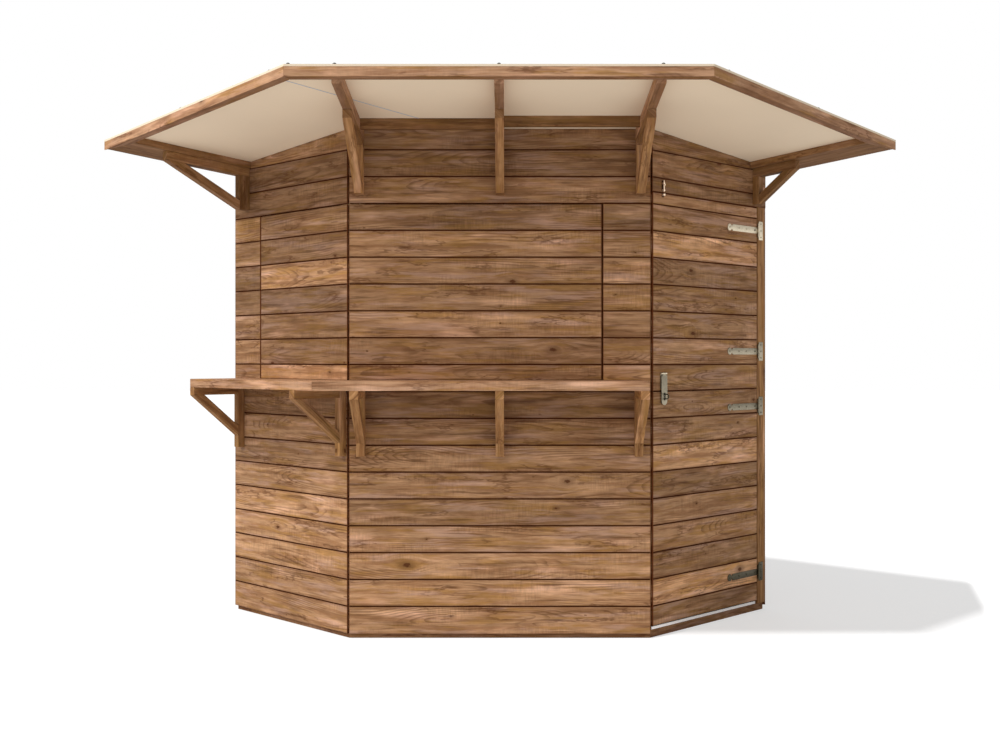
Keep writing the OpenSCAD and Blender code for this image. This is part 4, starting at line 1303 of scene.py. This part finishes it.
class BAR_OT_hasp(BarOperator, bpy.types.Operator):
    """Make the hasp: a hinged plate, the slotted strap and the staple it hangs over"""

    bl_idname = "bar.hasp"
    bl_label = "Hasp and staple"

    # The middle along the wall, the pin's distance out, half the width, a knuckle's length, its radius, the pin's
    x, out, half, knuckle, reach, pin = 0.078, 0.0045, 0.020, 0.010, 0.004, 0.0015

    def execute(self, context):
        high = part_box("hasp_strap")[1].z
        pin_z = high - 0.004 if high > SPLIT_Z else SPLIT_Z + 0.076
        staple_z = SPLIT_Z - 0.023
        self.plate(pin_z)
        self.strap(pin_z, staple_z)
        self.staple(staple_z)
        return {"FINISHED"}

    def barrel(self, stock, u, z, clear, length, tone):
        """A knuckle round the hasp's pin, from u along the door."""
        centre = door_point(self.x + u, self.out, z)
        sleeve(stock, centre, DOOR_ALONG, self.reach, self.pin + clear, length, 16, tone)

    def plate(self, pin_z):
        """The plate on the upper leaf, with an ear and a knuckle at each side and the pin through them."""
        stock, half, knuckle = Stock(121), self.half, self.knuckle
        sheet_metal(stock, (-half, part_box("hasp_plate")[0].z, half, pin_z - 0.005), self.x, 0.0, 0.3, 0.002)
        for u in (-half, half - knuckle):
            sheet_metal(stock, (u, pin_z - 0.006, u + knuckle, pin_z + 0.003), self.x, 0.0, 0.6)
        # Painted highlight: the knuckles get a brighter plating tone than the plate
        for u in (-half, half - knuckle + 0.0003):
            self.barrel(stock, u, pin_z, 0.0002, knuckle - 0.0003, 1.1)
        profile = [(self.pin, -0.0008), (self.pin, 2 * half + 0.0008)]
        turned(stock, profile, door_point(self.x - half, self.out, pin_z), DOOR_ALONG, 12, 0.6)
        forge(stock, "hasp_plate_piece", "upper_door", ["hasp_plate"])

    def strap(self, pin_z, staple_z):
        """The strap: rings of points round its slot, where rays from the slot's middle leave slot and rim."""
        stock, half, knuckle = Stock(122), self.half, self.knuckle
        length, slot, slot_h = 0.136, 0.007, 0.017
        centre = np.array([0, staple_z - pin_z])
        rim = np.concatenate([[(half, -2 * self.reach), (-half, -2 * self.reach)],
                              arc(0, half - length, half, 180, 360, 25)]) - centre  # fmt: skip
        inner = np.concatenate([arc(0, slot_h - slot, slot, 0, 180, 13), arc(0, slot - slot_h, slot, 180, 360, 13)])
        angles = np.unique(np.round(np.arctan2(*np.concatenate([inner, rim]).T[::-1]), 6))
        ring_in, ring_out = self.cast(inner, angles), self.cast(rim, angles)
        e, t = 0.0004, PLATE_T
        sunk = ring_out * (1 - e / half)
        rows = [(ring_in, 0), (sunk, 0), (ring_out, e), (ring_out, t - e), (sunk, t), (ring_in, t)]
        uv = np.stack([row for row, _ in rows], axis=1).reshape(-1, 2) + centre
        w = np.tile([level for _, level in rows], len(angles))
        points = right_place(self.x, pin_z, self.out + 0.001)(uv[:, 0], uv[:, 1], w)
        stock.add(points, loop_faces(len(rows), len(angles)), points, 0.30)
        neck = corners(knuckle - half, -0.0085, half - knuckle, 0.0)
        slab(stock, neck, right_place(self.x, pin_z, self.out + 0.001), 0.0, PLATE_T - 0.0004, 0.0003, tone=0.3)
        # Painted highlight: the strap's knuckle is brighter than the strap
        self.barrel(stock, knuckle - half, pin_z, 0.0003, 2 * (half - knuckle), 0.9)
        forge(stock, "hasp_strap_piece", "hasp", ["hasp_strap"])

    def staple(self, staple_z):
        """The staple: a screwed plate, and a wire swept along a bow that stands out of it."""
        stock, x = Stock(123), self.x
        wire, bow, legs, sides = 0.0026, 0.010, 0.020, 10
        sheet_metal(stock, (-0.014, -0.0185, 0.014, 0.0185), x, staple_z, 0.3, 0.003)
        path = np.concatenate([[(0.0, -bow)], arc(legs, 0, bow, -90, 90, 17), [(0.0, bow)]])
        step = np.gradient(path, axis=0)
        step /= np.linalg.norm(step, axis=1, keepdims=True)
        turn = np.arange(sides) * 2 * np.pi / sides
        across = np.stack([step[:, 1], -step[:, 0]], axis=1)
        loop = path[:, None, :] + wire * np.cos(turn)[None, :, None] * across[:, None, :]
        side = np.broadcast_to(wire * np.sin(turn)[None, :], loop.shape[:2])
        ends = [[0.0, 0, -bow], [0.0, 0, bow]]
        local = np.concatenate([np.stack([loop[..., 0], side, loop[..., 1]], axis=-1).reshape(-1, 3), ends])
        points = door_point(x + local[:, 1], local[:, 0] + 0.0005, staple_z + local[:, 2])
        stock.add(points, tube_faces(sides, len(path)), points, -0.3)
        for dz in (-0.0145, 0.0145):
            screw(stock, door_point(x + 0.009, THIN, staple_z + dz), DOOR_OUT, 0.003, 0.5)
        forge(stock, "hasp_staple_piece", "lower_door", ["hasp_staple"])

    def cast(self, outline, angles):
        """Where rays from the middle at the given angles leave a convex outline."""
        a, b = outline, np.roll(outline, -1, axis=0)
        ray = np.stack([np.cos(angles), np.sin(angles)], axis=1)[:, None, :]
        edge = (b - a)[None]
        cross = ray[..., 0] * edge[..., 1] - ray[..., 1] * edge[..., 0]
        cross = np.where(np.abs(cross) < 1e-12, 1e-12, cross)
        far = (a[None, :, 0] * edge[..., 1] - a[None, :, 1] * edge[..., 0]) / cross
        share = (a[None, :, 0] * ray[..., 1] - a[None, :, 1] * ray[..., 0]) / cross
        good = (far > 0) & (share > -1e-6) & (share < 1 + 1e-6)
        return np.where(good, far, np.inf).min(axis=1)[:, None] * ray[:, 0]


class BAR_OT_bolt(BarOperator, bpy.types.Operator):
    """Make the small bolt over the door: two guides, the rod with its knob, and the keeper on the leaf"""

    bl_idname = "bar.bolt"
    bl_label = "Small bolt"

    # The rod's place along the wall, its distance out and its radius
    x, out, rod = 0.076, 0.007, 0.003

    def execute(self, context):
        x, out, rod = self.x, self.out, self.rod
        header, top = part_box("right_header")[0].z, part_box("upper_leaf")[1].z
        guides, keeper, bolt = Stock(131), Stock(132), Stock(133)
        for stock, z0, z1 in ((guides, header + 0.004, header + 0.050), (keeper, top - 0.016, top - 0.001)):
            sheet_metal(stock, (-0.0075, z0, 0.0075, z1), x, 0.0, -0.2, 0.002)
        self.guide(guides, header + 0.005, rod + 0.0005)
        self.guide(guides, header + 0.034, rod + 0.0005)
        self.guide(keeper, top - 0.009, rod + 0.0015)
        for z in (header + 0.022, header + 0.047):
            screw(guides, door_point(x + 0.005, THIN, z), DOOR_OUT, 0.0018, 0.9)
        # Painted highlight: the rod and knob are set to the bright end of the plating
        profile = [(rod * 0.5, 0.0), (rod, 0.0012), (rod, 0.0492), (rod * 0.6, 0.050)]
        turned(bolt, profile, door_point(x, out, header + 0.001), UP, 16, 0.9)
        knob = [(0.0025, 0.0), (0.0022, 0.0036), (0.0031, 0.0048), (0.0031, 0.0066), (0.002, 0.0076)]
        turned(bolt, knob, door_point(x, out, header + 0.031), DOOR_OUT, 16, 0.9)
        forge(guides, "bolt_guides", "shed", ["bolt_barrel"], "bolt_plating")
        forge(keeper, "bolt_keeper_piece", "upper_door", ["bolt_keeper"], "bolt_plating")
        forge(bolt, "bolt_rod_piece", "bolt", ["bolt_rod"], "bolt_plating")
        return {"FINISHED"}

    def guide(self, stock, z, clear):
        """A bent guide over the rod: its round-backed section is carried up from z."""
        wall, height, foot = 0.0016, 0.008, 0.001
        outer, back = clear + wall, self.out
        outline = np.concatenate([
            [(outer, foot)], arc(0, back, outer, 0, 180, 13), [(-outer, foot)],
            [(-clear, foot)], arc(0, back, clear, 180, 0, 13), [(clear, foot)],
        ])  # fmt: skip

        def place(u, v, w):
            return door_point(self.x + u, v, z + w)

        # Painted highlight: the guides are set to the bright end of the plating
        slab(stock, outline, place, 0.0, height, 0.0003, tone=0.95, radius=0.00015)


class BAR_OT_framing(BarOperator, bpy.types.Operator):
    """Plane the posts, rails, studs and rafters inside"""

    bl_idname = "bar.framing"
    bl_label = "Inner framing"

    def execute(self, context):
        sets = {
            "corner_post_set": "corner_posts",
            "sole_rail_set": "sole_rails",
            "head_rail_set": "head_rails",
            "stud_set": "studs",
            "inner_rafter_set": "inner_rafters",
        }
        for seed, (name, key) in enumerate(sets.items()):
            lumber(name, [key], "inner_softwood", "inner_timber", seed=101 + seed)
        return {"FINISHED"}


# ---------------------------------------------------------------- stage


class BAR_OT_stage(BarOperator, bpy.types.Operator):
    """Set up the floor, the light and the camera"""

    bl_idname = "bar.stage"
    bl_label = "Stage"

    def execute(self, context):
        scene = context.scene
        s = scene.bar_stage
        scene.view_settings.view_transform = "Standard"
        self.floor()
        self.world(s.sky)
        sun = self.lamp("sun", "SUN", s.sun, Vector((0.478, 0.396, -1.0)), "INCLUDE")
        sun.data.angle = math.radians(3)
        travel, aim, distance = Vector((0.622, 0.448, -0.643)).normalized(), Vector((0, 0, 1.0)), 9.0
        box = self.lamp("soft_box", "AREA", s.box, travel, "EXCLUDE")
        box.data.shape = "RECTANGLE"
        box.data.size, box.data.size_y = 8.0, 5.0
        box.location = aim - distance * travel
        box.visible_camera = False
        camera = add_object("camera", bpy.data.cameras.new("camera"))
        camera.location = s.eye
        camera.rotation_euler = (math.radians(90), 0, 0)
        camera.data.lens = s.lens
        camera.data.shift_x, camera.data.shift_y = s.shift
        scene.camera = camera
        return {"FINISHED"}

    def lamp(self, name, kind, energy, travel, state):
        """A lamp that shines along travel and lights the floor alone, or everything but the floor."""
        lamp = add_object(name, bpy.data.lights.new(name, kind))
        lamp.data.energy = energy
        lamp.rotation_mode = "QUATERNION"
        lamp.rotation_quaternion = travel.to_track_quat("-Z", "Y")
        receivers = bpy.data.collections.new(name + "_receivers")
        receivers.objects.link(bpy.data.objects["ground"])
        receivers.collection_objects[0].light_linking.link_state = state
        lamp.light_linking.receiver_collection = receivers
        return lamp

    def floor(self):
        """A wide pale floor that shows white where no shadow falls.

        It glows by lift, and more beyond the line where the shadow ends, so that it stays white there.
        """
        half, low = 40.0, -0.0004
        bounce, lit, lift = 0.74, 0.5, 0.52
        mesh = bpy.data.meshes.new("ground")
        mesh.from_pydata([(x, y, low) for x, y in corners(-half, -half, half, half)], [], [(0, 1, 2, 3)])
        ground = add_object("ground", mesh)
        material = bpy.data.materials.new("ground_white")
        g = empty_graph(material)
        seen, at = g.seen(), g.place()
        level = g.ramp(seen, 0.0, 1.0, bounce, lit)
        grey = g.node("CombineColor", {0: level, 1: level, 2: level}).outputs[0]
        diffuse = g.node("BsdfDiffuse", {"Color": grey})
        far = g.ramp(g.fit(at[1], -0.28, at[0]), 2.28, 2.39)
        glow = g.node("Emission", {"Strength": g.mul(seen, g.add(far, lift))})
        both = g.node("AddShader")
        g.link(diffuse.outputs[0], both.inputs[0])
        g.link(glow.outputs[0], both.inputs[1])
        g.link(both.outputs[0], g.node("OutputMaterial").inputs[0])
        mesh.materials.append(material)

    def world(self, strength):
        """An even sky, which the camera and reflections see as white."""
        world = bpy.data.worlds.new("sky")
        bpy.context.scene.world = world
        g = empty_graph(world)
        level = g.fit(g.seen(), 1.0 - strength, strength)
        back = g.node("Background", {"Color": (1.0, 1.0, 1.0), "Strength": level})
        g.link(back.outputs[0], g.node("OutputWorld").inputs[0])


class BAR_PT_panel(bpy.types.Panel):
    """The bar's pieces in the 3D view's sidebar"""

    bl_label = "Garden Bar"
    bl_space_type = "VIEW_3D"
    bl_region_type = "UI"
    bl_category = "Garden Bar"

    def draw(self, context):
        for operator in OPERATORS:
            self.layout.operator(operator.bl_idname)
        for name in SETTINGS:
            box = self.layout.box()
            for key in getattr(context.scene, name).bl_rna.properties.keys():
                if key not in ("rna_type", "name"):
                    box.prop(getattr(context.scene, name), key)


SETTINGS = {
    "bar_boards": BoardSettings,
    "bar_timber": TimberSettings,
    "bar_finish": FinishSettings,
    "bar_stage": StageSettings,
}
OPERATORS = (
    BAR_OT_walls,
    BAR_OT_hatches,
    BAR_OT_door,
    BAR_OT_canopy,
    BAR_OT_roof,
    BAR_OT_counter,
    BAR_OT_floor,
    BAR_OT_hinges,
    BAR_OT_hasp,
    BAR_OT_bolt,
    BAR_OT_framing,
    BAR_OT_stage,
)


def register():
    """Registers the settings, the operators and the panel."""
    for name, group_class in SETTINGS.items():
        bpy.utils.register_class(group_class)
        setattr(bpy.types.Scene, name, bpy.props.PointerProperty(type=group_class))
    for cls in (*OPERATORS, BAR_PT_panel):
        bpy.utils.register_class(cls)


def unregister():
    """Takes everything back that register added."""
    for cls in (BAR_PT_panel, *reversed(OPERATORS)):
        bpy.utils.unregister_class(cls)
    for name, group_class in reversed(SETTINGS.items()):
        delattr(bpy.types.Scene, name)
        bpy.utils.unregister_class(group_class)


def main():
    """Makes every piece in order."""
    register()
    for operator in OPERATORS:
        module, name = operator.bl_idname.split(".")
        if getattr(getattr(bpy.ops, module), name)() != {"FINISHED"}:
            raise RuntimeError(operator.bl_idname + " did not finish")


if __name__ == "__main__":
    main()
